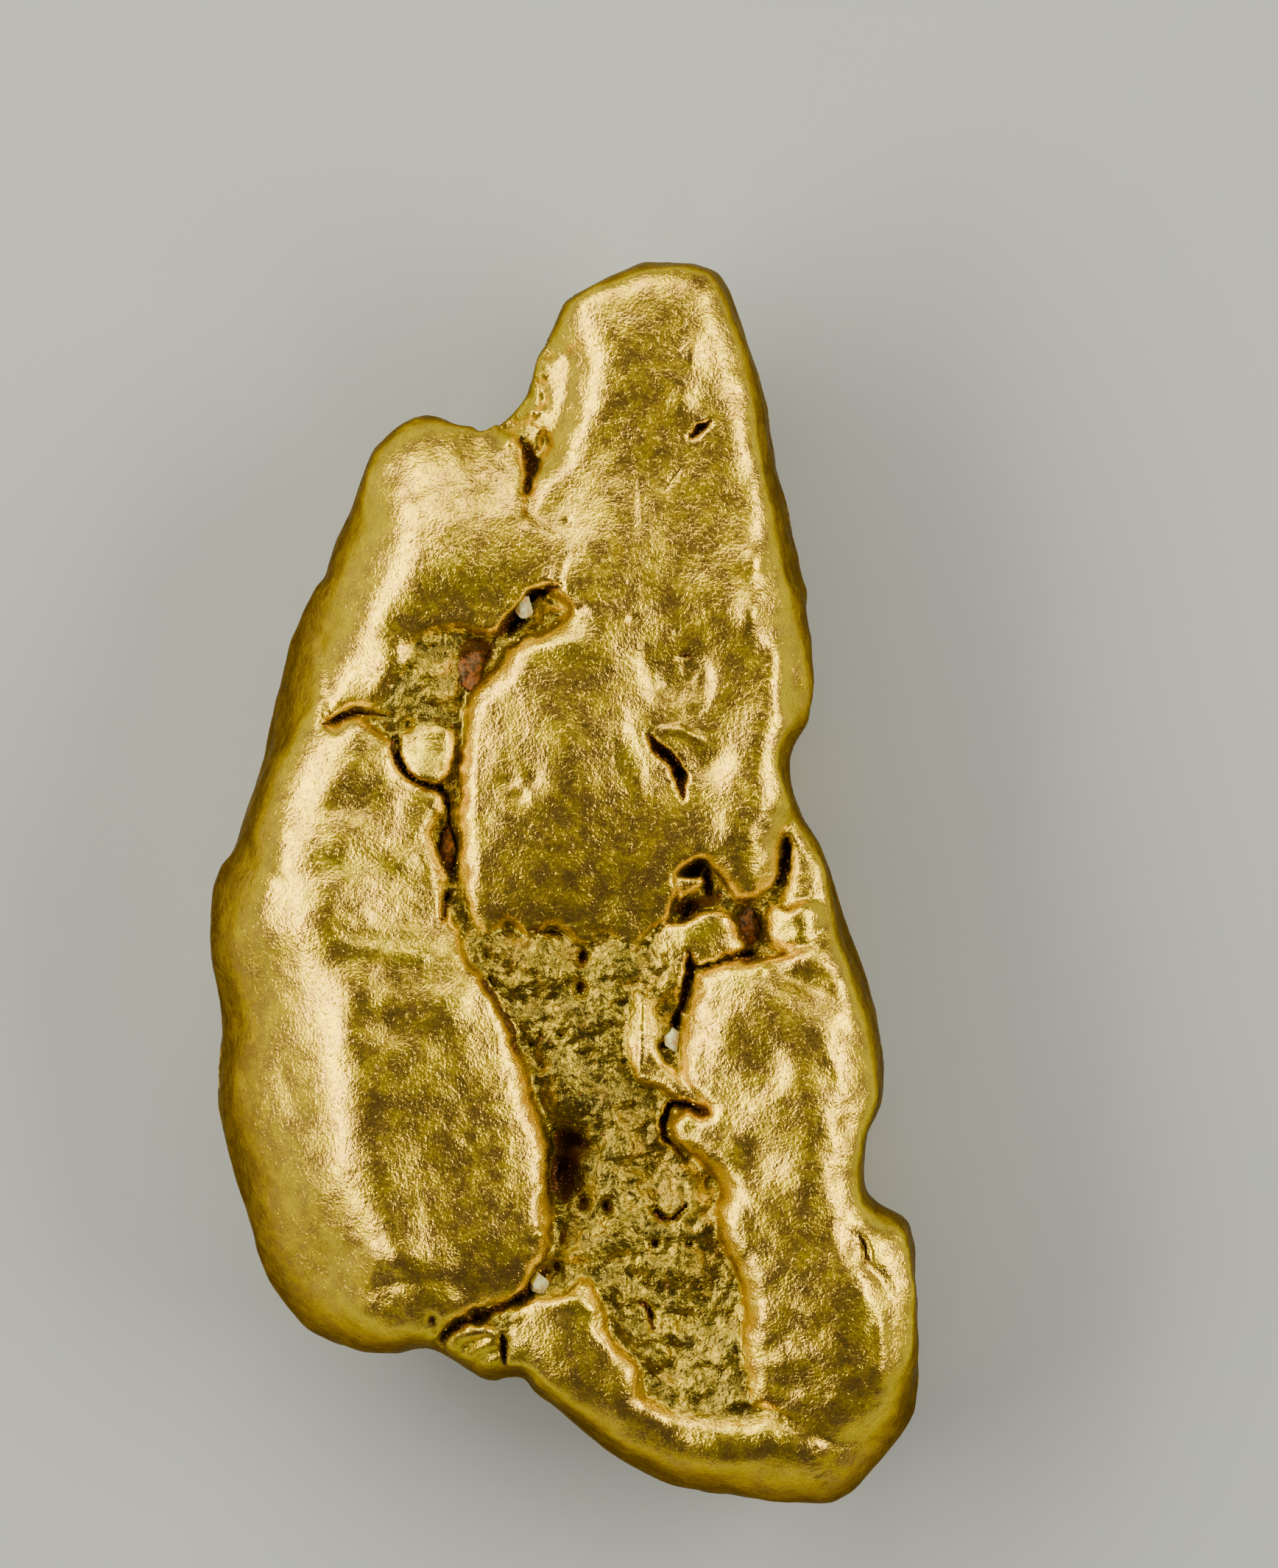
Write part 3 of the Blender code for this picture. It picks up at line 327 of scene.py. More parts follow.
@dataclass(frozen=True)
class Line:
    """A smooth line on the plan: x and y, then values that are carried along it.

    Args:
        points: The points that it passes through.
        closed: True if its end joins its start.
        spacing: Distance between its samples.
    """

    points: Rows
    closed: bool = False
    spacing: float = 0.05

    def samples(self) -> np.ndarray:
        """Follows a Catmull-Rom line.

        Returns:
            Points at an even spacing, one a row, with what they carry.
        """
        points = np.asarray(self.points, float)
        if self.closed:
            corners = [np.roll(points, shift, axis=0) for shift in (1, 0, -1, -2)]
        else:
            padded = np.vstack([2 * points[0] - points[1], points, 2 * points[-1] - points[-2]])
            corners = [padded[:-3], padded[1:-2], padded[2:-1], padded[3:]]
        before, start, end, after = (side[:, None, :] for side in corners)
        t = np.linspace(0, 1, SPAN_STEPS, endpoint=False)[None, :, None]
        line = start + 0.5 * t * (end - before)
        line = line + t**2 * (before - 2.5 * start + 2 * end - 0.5 * after)
        line = line + t**3 * (1.5 * (start - end) + 0.5 * (after - before))
        line = line.reshape(-1, points.shape[1])
        line = np.vstack([line, line[0] if self.closed else points[-1]])
        run = np.append(0, np.cumsum(np.linalg.norm(np.diff(line[:, :2], axis=0), axis=1)))
        count = max(int(run[-1] / self.spacing), 3)
        stops = np.linspace(0, run[-1], count, endpoint=not self.closed)
        return np.column_stack([np.interp(stops, run, values) for values in line.T])

    def near(self, plan: np.ndarray, margin: float) -> np.ndarray:
        """Picks the plan points in the line's box.

        Args:
            plan: Points, one a row.
            margin: How much the box is widened.

        Returns:
            Their indices.
        """
        line = self.samples()[:, :2]
        low = line.min(axis=0) - margin
        high = line.max(axis=0) + margin
        return np.flatnonzero(((plan >= low) & (plan <= high)).all(axis=1))

    def measure(self, plan: np.ndarray) -> tuple[np.ndarray, np.ndarray]:
        """Measures plan points against the line.

        Args:
            plan: Points, one a row.

        Returns:
            Each point's distance, below zero outside a closed line, and the line's values
            where it is nearest.
        """
        line = self.samples()
        count = len(line)
        tree = KDTree(count)
        for index, point in enumerate(line):
            tree.insert((point[0], point[1], 0), index)
        tree.balance()
        nearest = np.array([tree.find((x, y, 0))[1] for x, y in plan], int)
        away = np.full(len(plan), np.inf)
        values = np.zeros((len(plan), line.shape[1]))
        for shift in (0, -1):
            first = nearest + shift
            first = first % count if self.closed else np.clip(first, 0, count - 2)
            start = line[first]
            end = line[(first + 1) % count]
            run = end[:, :2] - start[:, :2]
            square = np.maximum((run**2).sum(axis=1), LEAST_RUN)
            along = ((plan - start[:, :2]) * run).sum(axis=1) / square
            found = start + (end - start) * np.clip(along, 0, 1)[:, None]
            distance = np.linalg.norm(plan - found[:, :2], axis=1)
            closer = distance < away
            away[closer] = distance[closer]
            values[closer] = found[closer]
        if self.closed:
            ahead = np.roll(line, -1, axis=0) - np.roll(line, 1, axis=0)
            area = (line[:, 0] * ahead[:, 1]).sum()
            inward = np.column_stack([-ahead[:, 1], ahead[:, 0]])[nearest] * np.sign(area)
            away = away * np.where(((plan - values[:, :2]) * inward).sum(axis=1) < 0, -1, 1)
        return away, values


def plate_shapes(plan: np.ndarray, spots: np.ndarray) -> np.ndarray:
    """The bending shapes of a thin plate held at the spots, at the plan points."""
    squares = ((plan[:, None, :] - spots[None, :, :2]) ** 2).sum(axis=2)
    return np.hstack([0.5 * squares * np.log(squares + LEAST_SQUARE), np.ones((len(plan), 1)), plan])


def bent_plate(plan: np.ndarray, heights: Rows) -> np.ndarray:
    """A thin plate bent through spot heights.

    Args:
        plan: Points, one a row.
        heights: Spots as x, y and height.

    Returns:
        The plate's height at each point.
    """
    spots = np.asarray(heights, float)
    count = len(spots)
    system = np.zeros((count + 3, count + 3))
    system[:count] = plate_shapes(spots[:, :2], spots)
    system[:count, :count] += PLATE_GIVE * np.eye(count)
    system[count:, :count] = system[:count, count:].T
    weights = np.linalg.solve(system, np.append(spots[:, 2], np.zeros(3)))
    return plate_shapes(plan, spots) @ weights


def swell(plan: np.ndarray, period: float, seed: int) -> np.ndarray:
    """Smooth gradient noise on the plan.

    Args:
        plan: Points, one a row.
        period: Size of its cells.
        seed: Turns, shifts and reshapes it.

    Returns:
        The noise at each point, from about -1 to 1.
    """
    cosine = math.cos(seed * SEED_TURN)
    sine = math.sin(seed * SEED_TURN)
    grid = plan @ np.array([[cosine, sine], [-sine, cosine]]) / period + seed * SEED_SHIFT
    cell = np.floor(grid)
    part = grid - cell
    ease = part**3 * (part * (part * 6 - 15) + 10)

    def corner(column: int, row: int) -> np.ndarray:
        """The height that one corner of each point's cell gives it.

        Args:
            column: 0 for the corner at the left, 1 at the right.
            row: 0 for the corner below, 1 above.

        Returns:
            The corner's slope, taken to each point.
        """
        steps = (cell[:, 0] + column, cell[:, 1] + row, seed)
        phase = sum(step * scale for step, scale in zip(steps, HASH_STEPS))
        angle = math.tau * np.modf(np.sin(phase) * HASH_SCALE)[0]
        return np.cos(angle) * (part[:, 0] - column) + np.sin(angle) * (part[:, 1] - row)

    low = corner(0, 0) + (corner(1, 0) - corner(0, 0)) * ease[:, 0]
    high = corner(0, 1) + (corner(1, 1) - corner(0, 1)) * ease[:, 0]
    return SWELL_RISE * (low + (high - low) * ease[:, 1])


def swells(plan: np.ndarray, table: Rows, seed: int) -> np.ndarray:
    """Swells of several periods and heights, added up."""
    return sum(height * swell(plan, period, seed + i) for i, (period, height) in enumerate(table))


def smooth_step(values: np.ndarray, low: float, high: float) -> np.ndarray:
    """A mask that rises smoothly from 0 at low to 1 at high."""
    t = np.clip((values - low) / (high - low), 0, 1)
    return t * t * (3 - 2 * t)


@dataclass(frozen=True)
class Spot:
    """A soft oval on the plan, in millimetres.

    Args:
        x: Its middle.
        y: Its middle.
        long: Half its length.
        wide: Half its width.
        turn: Turn of its length from +X, in degrees.
        amount: Depth, or share, at its middle.
    """

    x: float
    y: float
    long: float
    wide: float
    turn: float
    amount: float

    def over(self, plan: np.ndarray) -> np.ndarray:
        """Lays the spot over the plan.

        Args:
            plan: Points, one a row.

        Returns:
            The spot's amount at each point.
        """
        cosine = math.cos(math.radians(self.turn))
        sine = math.sin(math.radians(self.turn))
        dx = plan[:, 0] - self.x
        dy = plan[:, 1] - self.y
        along = (dx * cosine + dy * sine) / self.long
        across = (dy * cosine - dx * sine) / self.wide
        return self.amount * np.exp(-SPOT_FALL * (along**2 + across**2))


def spots(*rows: tuple[float, ...]) -> list[Spot]:
    """Spots from rows of x, y, half length, half width, turn and amount."""
    return [Spot(*row) for row in rows]


def spread(marks: Sequence[Spot], plan: np.ndarray) -> np.ndarray:
    """The marks' amounts at the plan points, added up."""
    return sum(mark.over(plan) for mark in marks)


@dataclass(frozen=True)
class Cleft:
    """A groove along an open line, or a ridge where its depth is below zero.

    Args:
        points: x, y, half width and depth along it.
    """

    points: Rows

    def over(self, plan: np.ndarray) -> tuple[np.ndarray, np.ndarray]:
        """Lays the cleft over the plan.

        Args:
            plan: Points, one a row.

        Returns:
            Its depth at each point, and how near the middle the point is, from 0 to 1.
        """
        line = Line(self.points)
        near = line.near(plan, max(point[2] for point in self.points))
        away, values = line.measure(plan[near])
        depth = np.zeros(len(plan))
        middle = np.zeros(len(plan))
        middle[near] = (1 - np.clip(away / (CLEFT_FILL * values[:, 2]), 0, 1) ** 2) ** 2
        depth[near] = values[:, 3] * middle[near]
        return depth, middle


def clefts(*lines: Rows) -> list[Cleft]:
    """Clefts from their points: x, y, half width and depth."""
    return [Cleft(points) for points in lines]


@dataclass(frozen=True)
class Lobe:
    """A rounded sheet of gold that stands over what is under it.

    Args:
        edge: Its closed outline: x, y and the radius that the edge turns down with.
        spots: Heights on its top: x, y, z.
        wall: Rise of its wall over its run.
    """

    edge: Rows
    spots: Rows
    wall: float = 8.0

    def heights(self, plan: np.ndarray) -> np.ndarray:
        """Lays the lobe over the plan.

        Args:
            plan: Points, one a row.

        Returns:
            Its height at each point, far below everything where there is no lobe.
        """
        height = np.full(len(plan), NOWHERE)
        line = Line(self.edge, closed=True)
        near = line.near(plan, WALL_REACH)
        away, values = line.measure(plan[near])
        radius = np.maximum(values[:, 2], LEAST_RADIUS)
        turn = 1 - np.clip(away / radius, 0, 1)
        top = bent_plate(plan[near], self.spots) - radius * (1 - np.sqrt(1 - turn**2))
        steep = smooth_step(swell(plan[near], SLUMP_PERIOD, Seed.SLUMP), *SLUMP_BAND)
        steep = self.wall * (SLUMPED + (1 - SLUMPED) * steep)
        height[near] = np.where(away > 0, top, top + steep * away)
        return height


# --- The nugget's tables -----------------------------------------------------------------------

# The outline: x, y and the radius that the rim rolls over with.
RIM = [
    (2.5, 15.0, 0.8), (3.3, 14.87, 0.8), (3.9, 14.35, 0.9), (4.55, 12.6, 1.1), (5.07, 10.6, 1.2),
    (5.2, 9.7, 1.1), (5.68, 7.6, 1.3), (5.92, 6.9, 1.3), (6.03, 5.2, 1.3), (5.95, 4.5, 1.2),
    (5.75, 3.85, 0.9), (5.42, 3.3, 0.7), (5.42, 2.6, 0.7), (5.8, 1.65, 0.9), (6.38, 0.75, 1.2),
    (6.7, -0.6, 1.4), (7.38, -2.6, 1.1), (7.55, -3.4, 0.9), (7.73, -4.9, 0.8), (7.62, -5.55, 0.8),
    (7.4, -6.1, 0.8), (7.26, -7.15, 0.8), (7.5, -7.65, 0.8), (8.2, -8.1, 0.8), (8.42, -8.6, 0.5),
    (8.54, -9.7, 0.45), (8.54, -11.3, 0.55), (8.46, -12.4, 1.5), (8.3, -13.1, 2.2), (7.5, -14.1, 2.4),
    (6.7, -14.8, 2.5), (6.0, -14.98, 2.6), (4.0, -14.88, 2.7), (3.0, -14.65, 2.7), (2.0, -14.27, 2.6),
    (1.0, -13.72, 2.4), (-0.6, -12.35, 1.6), (-1.0, -11.88, 0.8), (-1.4, -11.8, 0.5),
    (-1.95, -11.85, 0.5), (-3.05, -11.33, 0.5), (-3.5, -11.28, 1.3), (-4.15, -11.4, 1.7),
    (-5.0, -11.28, 2.2), (-5.8, -10.95, 3.0), (-6.5, -10.35, 3.8), (-7.4, -8.8, 4.8), (-8.22, -5.7, 4.8),
    (-8.36, -4.6, 4.7), (-8.34, -3.0, 4.7), (-8.52, -1.5, 3.8), (-8.48, -0.4, 3.3), (-8.2, 0.5, 2.9),
    (-7.85, 1.1, 2.6), (-6.97, 4.3, 2.8), (-6.15, 6.95, 3.2), (-5.82, 7.5, 3.0), (-5.65, 8.1, 2.5),
    (-4.72, 10.2, 1.3), (-4.3, 10.75, 1.2), (-3.8, 11.13, 1.2), (-3.2, 11.28, 1.1), (-2.2, 11.02, 0.8),
    (-1.8, 10.93, 0.4), (-1.0, 11.68, 0.3), (-0.7, 12.6, 0.3), (-0.47, 12.95, 0.3), (-0.08, 13.7, 0.5),
    (0.22, 14.05, 0.6), (1.6, 14.85, 0.8),
]

# The lobes, lowest in the pile first. An edge runs past the rim where its lobe reaches the side.
LEFT_LOBE = Lobe(
    [
        (-10, 6.5, 0.5), (-10, -13, 0.5), (-3.5, -13, 0.5), (-3.1, -11.1, 0.5), (-2.3, -10.25, 0.45),
        (-1.0, -9.95, 0.5), (-0.7, -9.35, 0.45), (-0.35, -8.6, 0.5), (-0.28, -6.5, 0.6),
        (-0.5, -5.6, 0.6), (-0.78, -4.97, 0.5), (-1.25, -3.4, 0.4), (-1.75, -2.45, 0.25),
        (-2.2, -1.95, 0.2), (-2.55, -1.2, 0.2), (-2.8, -0.3, 0.25), (-2.9, 0.4, 0.35), (-3.1, 1.2, 0.4),
        (-2.8, 2.0, 0.3), (-3.2, 2.25, 0.22), (-3.6, 2.55, 0.2), (-3.95, 3.0, 0.2), (-4.15, 3.4, 0.25),
        (-4.7, 3.9, 0.35), (-5.2, 3.95, 0.4), (-5.6, 3.85, 0.35), (-6.4, 6.5, 0.5),
    ],
    [
        (-8, 5, 7.1), (-8, 0, 7.6), (-8, -8, 6.9), (-8, -4, 7.3), (-6.3, 0, 7.75), (-4.6, -3, 7.75),
        (-5.8, -3, 7.65), (-4.4, -6.5, 7.6), (-5.6, -6.8, 7.47), (-4.1, -8.2, 7.52), (-3.6, -9.1, 7.42),
        (-4.9, -9.0, 7.05), (-5.7, -9.3, 6.65), (-4.5, -1.5, 7.5), (-4.0, -5.5, 7.6), (-3.2, -8, 7.35),
        (-2.8, -0.6, 7.0), (-2.0, -8.4, 7.3), (-2.4, -1.8, 7.2), (-1.9, -3.0, 7.3), (-1.0, -6, 7.1),
        (-0.9, -8.5, 7.08), (-4.0, -10.5, 6.75), (-6.4, -9.8, 6.7), (-5.0, 3.3, 7.25), (-3.6, 1.9, 6.95),
        (-2.3, -9.8, 6.8), (-3.1, 0.6, 7.0),
    ],
)
SHOULDER = Lobe(
    [
        (-10, 2.5, 0.5), (-6.3, 2.5, 0.4), (-5.8, 3.7, 0.3), (-5.2, 4.15, 0.3), (-4.4, 4.3, 0.3),
        (-3.95, 4.8, 0.35), (-3.6, 5.6, 0.4), (-3.05, 5.98, 0.4), (-2.3, 6.02, 0.35), (-1.5, 5.95, 0.35),
        (-1.2, 6.3, 0.25), (-0.9, 6.75, 0.25), (-0.4, 7.1, 0.3), (0.5, 7.3, 0.6), (0.8, 8.0, 0.8),
        (0.2, 8.6, 0.5), (-0.55, 8.75, 0.4), (-0.85, 9.0, 0.35), (-0.72, 10.0, 0.45), (-0.95, 10.6, 0.5),
        (-1.55, 11.0, 0.5), (-1.7, 13, 0.5), (-10, 13, 0.5),
    ],
    [
        (-7, 3, 7.1), (-5.5, 4.5, 6.9), (-4.4, 5.2, 6.96), (-4.7, 4.6, 6.78), (-3.6, 6.2, 7.0),
        (-1.6, 6.5, 7.1), (0, 7.4, 7.2), (-0.8, 8.4, 7.15), (-1.2, 9.6, 6.8), (-1.7, 10.6, 6.2),
        (-3.3, 10.4, 6.4), (-3.2, 8.4, 7.15), (-4.8, 8.6, 6.6), (-5.6, 7.0, 6.9), (-4.4, 6.3, 7.17),
        (-5.3, 6.3, 6.86), (-3.4, 7.4, 7.2), (-2.0, 7.8, 7.25), (-4.5, 10.5, 6.1), (-7, 7, 6.4),
    ],
)
BODY_LOBE = Lobe(
    [
        (-0.1, 17, 1.2), (-0.3, 13.2, 1.4), (-0.15, 12.4, 1.5), (-0.4, 10.9, 1.3), (-0.6, 10.2, 1.0),
        (-0.8, 9.6, 0.6), (-1.1, 8.8, 0.5), (-1.3, 7.9, 0.5), (-0.3, 7.05, 0.3), (0.2, 6.6, 0.3),
        (-0.3, 6.1, 0.5), (-1.1, 5.8, 0.6), (-1.7, 5.15, 0.7), (-2.25, 4.3, 0.5), (-2.45, 3.2, 0.45),
        (-2.5, 2.0, 0.5), (-2.5, 0.3, 0.6), (-2.35, -0.6, 0.3), (-1.9, -1.2, 0.2), (-1.35, -0.95, 0.25),
        (-0.8, -1.3, 0.2), (-0.2, -1.0, 0.3), (0.4, -1.5, 0.2), (1.0, -1.15, 0.3), (1.6, -1.5, 0.2),
        (2.0, -1.2, 0.2), (2.45, -0.9, 0.2), (2.7, -0.3, 0.2), (2.8, 0.35, 0.25), (3.1, 0.52, 0.3),
        (3.42, 0.5, 0.4), (3.78, 0.12, 0.45), (4.1, -0.3, 0.45), (4.5, -0.46, 0.45), (5.0, -0.05, 0.6),
        (5.3, 0.7, 0.8), (5.5, 1.4, 0.8), (7, 2, 0.5), (8, 6, 0.5), (8, 17, 0.5),
    ],
    [
        (1.5, 16, 6.5), (2.0, 13.5, 6.8), (0.6, 12.6, 6.8), (3.8, 13, 6.65), (2.3, 11, 6.9),
        (0.2, 11, 6.75), (4.4, 10, 6.8), (-0.3, 9, 6.9), (2.5, 9, 7.0), (4.9, 8.3, 6.9), (0.6, 7.6, 7.3),
        (4.4, 6.5, 7.22), (5.1, 6.3, 6.98), (5.6, 6.2, 6.72), (2.6, 6.4, 7.15), (5.3, 5, 7.1),
        (0.3, 5.2, 7.45), (3.0, 5, 7.1), (-1.7, 3.7, 7.2), (0, 3.5, 7.5), (2.2, 3.4, 7.15),
        (3.5, 2.9, 7.08), (4.9, 3.7, 7.3), (4.5, 2.2, 7.3), (4.4, 1.2, 7.3), (-1.8, 1.3, 7.15),
        (0, 1.5, 7.35), (1.8, 1.4, 7.2), (3.7, 1.3, 7.2), (-1.8, -0.2, 7.0), (0.3, -0.2, 7.0),
        (2.2, 0, 6.95), (4.3, 0.3, 7.1), (7, 6, 7.1), (-1.8, -1.0, 6.8), (0.3, -1.2, 6.74),
        (2.0, -1.1, 6.76), (5.3, 0.9, 6.9),
    ],
)
RIGHT_LOBE = Lobe(
    [
        (4.5, -1.78, 0.35), (3.3, -2.1, 0.4), (3.05, -2.6, 0.45), (2.8, -3.3, 0.45), (2.75, -4.1, 0.5),
        (2.95, -4.9, 0.4), (3.45, -5.35, 0.35), (3.35, -5.62, 0.3), (2.95, -5.5, 0.25),
        (2.62, -5.7, 0.25), (2.75, -6.2, 0.35), (3.2, -6.6, 0.5), (3.75, -7.3, 0.7), (3.7, -8.1, 0.6),
        (3.95, -8.9, 0.6), (4.35, -9.7, 0.6), (4.25, -10.8, 0.6), (4.3, -11.65, 0.6), (4.4, -12.5, 0.6),
        (5.2, -13.4, 0.8), (6.5, -16, 1.0), (10, -16, 1.0), (10, -1, 1.0), (7.2, -0.2, 0.6),
        (6.4, -0.5, 0.6), (5.8, -1.4, 0.5), (5.2, -1.75, 0.45),
    ],
    [
        (4.0, -2.5, 7.15), (5.5, -2.2, 7.22), (6.8, -1.8, 6.9), (3.15, -3.6, 6.88), (3.7, -3.6, 7.14),
        (4.3, -3.8, 7.2), (5.0, -4.4, 7.32), (5.0, -3.2, 7.38), (6.0, -3.8, 7.42), (6.8, -4.5, 7.12),
        (7.4, -4.5, 6.8), (6.2, -5.3, 7.42), (3.3, -6.1, 7.0), (5.0, -6.5, 7.3), (6.1, -7.2, 7.42),
        (4.4, -8.2, 7.1), (5.6, -9.2, 7.15), (6.5, -9.3, 7.22), (7.1, -7.2, 7.0), (7.1, -10, 7.2),
        (7.7, -10, 6.92), (7.5, -3.6, 6.86), (7.6, -11.7, 6.9), (5.4, -11.2, 6.7), (6.7, -10.8, 7.05),
        (5.6, -13, 6.25), (7.6, -13, 6.3), (8.2, -9.2, 6.7), (8.25, -11, 6.62),
    ],
)
BOTTOM_LOBE = Lobe(
    [
        (-1.35, -10.5, 0.3), (-1.0, -10.05, 0.3), (0.0, -9.75, 0.35), (0.6, -9.5, 0.35),
        (0.95, -10.2, 0.35), (1.05, -10.8, 0.4), (1.5, -11.3, 0.45), (1.86, -11.75, 0.45),
        (1.85, -12.25, 0.6), (2.2, -12.4, 0.8), (2.7, -12.5, 0.9), (3.3, -12.55, 0.9), (4.2, -12.6, 0.9),
        (5.0, -12.4, 1.0), (6.5, -13, 1.0), (9, -14, 1.0), (9, -17, 1.0), (-1, -17, 1.0),
        (-3, -13.5, 1.0), (-1.6, -11.7, 0.4),
    ],
    [
        (-0.8, -10.9, 6.35), (0.2, -10.6, 6.6), (0.3, -12, 6.45), (1.2, -11.6, 6.42), (1.3, -12.8, 6.45),
        (3.3, -13.7, 6.55), (3.2, -12.8, 6.3), (4.5, -13.75, 6.55), (4.4, -12.9, 6.32),
        (2.6, -14.3, 6.3), (4.5, -14.7, 6.3), (6.3, -13.7, 6.4), (0, -14, 5.8), (4, -16, 6.0),
        (0.3, -9.9, 6.6),
    ],
)
CRUMPLED_LUMP = Lobe(
    [
        (-3.0, -11.8, 0.4), (-2.95, -11.1, 0.35), (-2.4, -10.6, 0.35), (-1.75, -10.55, 0.35),
        (-1.5, -11.0, 0.3), (-1.4, -11.7, 0.4), (-1.8, -12.6, 0.5), (-2.8, -12.4, 0.5),
    ],
    [(-2.7, -11.3, 5.9), (-2.0, -11, 6.2), (-1.6, -11.5, 5.9), (-2.2, -12, 5.4)],
)
FOLDED_FLAP = Lobe(
    [
        (-3.95, 3.3, 0.15), (-3.75, 2.85, 0.15), (-3.4, 2.5, 0.15), (-3.0, 2.42, 0.15),
        (-2.72, 2.75, 0.2), (-2.62, 3.3, 0.2), (-2.8, 3.7, 0.15), (-3.3, 3.85, 0.15), (-3.8, 3.75, 0.15),
    ],
    [(-3.7, 3.3, 6.8), (-3.3, 2.8, 7.05), (-2.85, 3.0, 6.85), (-3.2, 3.6, 6.75)],
)
CRUMBLY_FLANGE = Lobe(
    [
        (-2.0, 11.2, 0.4), (-1.1, 11.9, 0.4), (-1.0, 13, 0.4), (-0.4, 14, 0.4), (0.5, 13.6, 0.5),
        (0.4, 11, 0.5), (0.1, 10, 0.4), (-0.8, 9.2, 0.4), (-1.1, 10, 0.4),
    ],
    [
        (-0.6, 12.6, 5.8), (-1.2, 11.5, 5.5), (-0.5, 11.2, 5.9), (-0.1, 13.4, 5.9), (-0.5, 10.2, 5.9),
        (-1.0, 10.6, 5.6),
    ],
)
CLEFT_TONGUE = Lobe(
    [
        (2.3, -1.0, 0.3), (2.76, -0.94, 0.15), (3.3, -0.71, 0.15), (3.85, -0.71, 0.2),
        (4.17, -0.98, 0.2), (4.4, -1.4, 0.2), (4.25, -1.64, 0.2), (3.85, -1.8, 0.2), (3.3, -1.92, 0.15),
        (3.05, -1.75, 0.2), (2.98, -2.3, 0.2), (2.65, -2.95, 0.25), (2.1, -2.6, 0.3), (2.0, -1.6, 0.4),
    ],
    [(2.4, -1.3, 6.6), (3.0, -1.1, 6.8), (3.7, -1.3, 6.75), (4.1, -1.3, 6.7), (2.5, -2.4, 6.5)],
)
UPPER_TONGUE = Lobe(
    [
        (2.3, 0.3, 0.3), (2.85, 0.2, 0.12), (3.3, 0.12, 0.15), (3.4, -0.07, 0.15), (3.0, -0.4, 0.15),
        (2.65, -0.66, 0.15), (2.2, -0.6, 0.3),
    ],
    [(2.5, 0.0, 6.75), (3.1, 0.0, 6.7), (2.6, -0.4, 6.6)],
)
CLEFT_KNOB = Lobe(
    [
        (4.8, -0.9, 0.2), (5.0, -0.6, 0.25), (5.5, -0.5, 0.3), (6.1, -0.5, 0.4), (6.3, -1.0, 0.4),
        (5.9, -1.6, 0.3), (5.3, -1.65, 0.25), (4.9, -1.4, 0.2),
    ],
    [(5, -1, 6.65), (5.6, -0.8, 6.95), (6.0, -1.1, 6.9), (5.4, -1.4, 6.8)],
)
RIGHT_WALL = Lobe(
    [
        (5.35, 1.4, 0.2), (5.5, 0.9, 0.2), (5.4, 0.2, 0.25), (5.15, -0.3, 0.25), (5.6, -0.8, 0.3),
        (8, -1, 0.5), (8, 2.2, 0.5), (5.9, 2.2, 0.3),
    ],
    [(5.9, 1.0, 6.6), (6.2, 0.2, 6.65), (5.6, 0, 6.5), (6.3, -0.6, 6.75), (5.8, 1.5, 6.6)],
)
VALLEY_RIDGE = Lobe(
    [
        (1.6, -2.1, 0.25), (2.1, -1.9, 0.3), (2.3, -3.9, 0.3), (2.7, -4.5, 0.3), (3.2, -4.95, 0.3),
        (3.4, -5.35, 0.2), (2.3, -4.9, 0.22), (1.65, -4.58, 0.22), (1.55, -3.4, 0.25),
    ],
    [(1.8, -2.3, 6.55), (1.9, -3.4, 6.62), (1.9, -4.4, 6.62), (2.9, -4.95, 6.75)],
)
LOBES = [
    LEFT_LOBE, SHOULDER, BODY_LOBE, RIGHT_LOBE, BOTTOM_LOBE, CRUMPLED_LUMP, FOLDED_FLAP, CRUMBLY_FLANGE,
    CLEFT_TONGUE, UPPER_TONGUE, CLEFT_KNOB, RIGHT_WALL, VALLEY_RIDGE,
]

# Spot heights of the rough floor that the lobes stand on.
FLOOR = [
    (-3, 5, 6.65), (-2, 5.2, 6.2), (-3.3, 4.0, 6.5), (-2.2, 3, 6.4), (-2.9, 1, 6.35), (-2.7, -0.7, 6.6),
    (-1.6, -1.7, 6.52), (0, -1.8, 6.47), (1.5, -1.8, 6.5), (2.6, -1.5, 6.35), (-1, -3.2, 6.4),
    (0.3, -3.3, 6.4), (1, -4.2, 6.3), (2.4, -3.6, 6.35), (-0.3, -5, 6.2), (0.9, -5.4, 6.2),
    (2.3, -5.3, 6.1), (0, -7, 5.7), (1.0, -6.8, 6.1), (2.2, -6.8, 6.0), (0.4, -8.8, 6.2),
    (1.6, -8.7, 6.1), (3.0, -8.6, 6.1), (-0.7, -9.6, 5.9), (-1.6, -10.3, 6.25), (2, -9.8, 5.95),
    (3.6, -9.8, 5.9), (3.0, -11.3, 5.7), (2.8, -12.4, 5.8), (4.1, -12.9, 5.9), (4.3, -11.2, 6.0),
    (3, 0.4, 6.2), (3.3, -0.4, 6.25), (4.5, -0.9, 6.1), (5.2, 0.5, 6.2), (-1, 10, 5.6), (-0.8, 7, 6.6),
    (-3, -11, 5.3), (6, 1, 6.0), (0, 12, 5.6), (0, -14, 4.8), (7, -10, 5.8), (-7, 0, 6.2), (-5, 8, 5.8),
    (4, 12, 5.8),
]

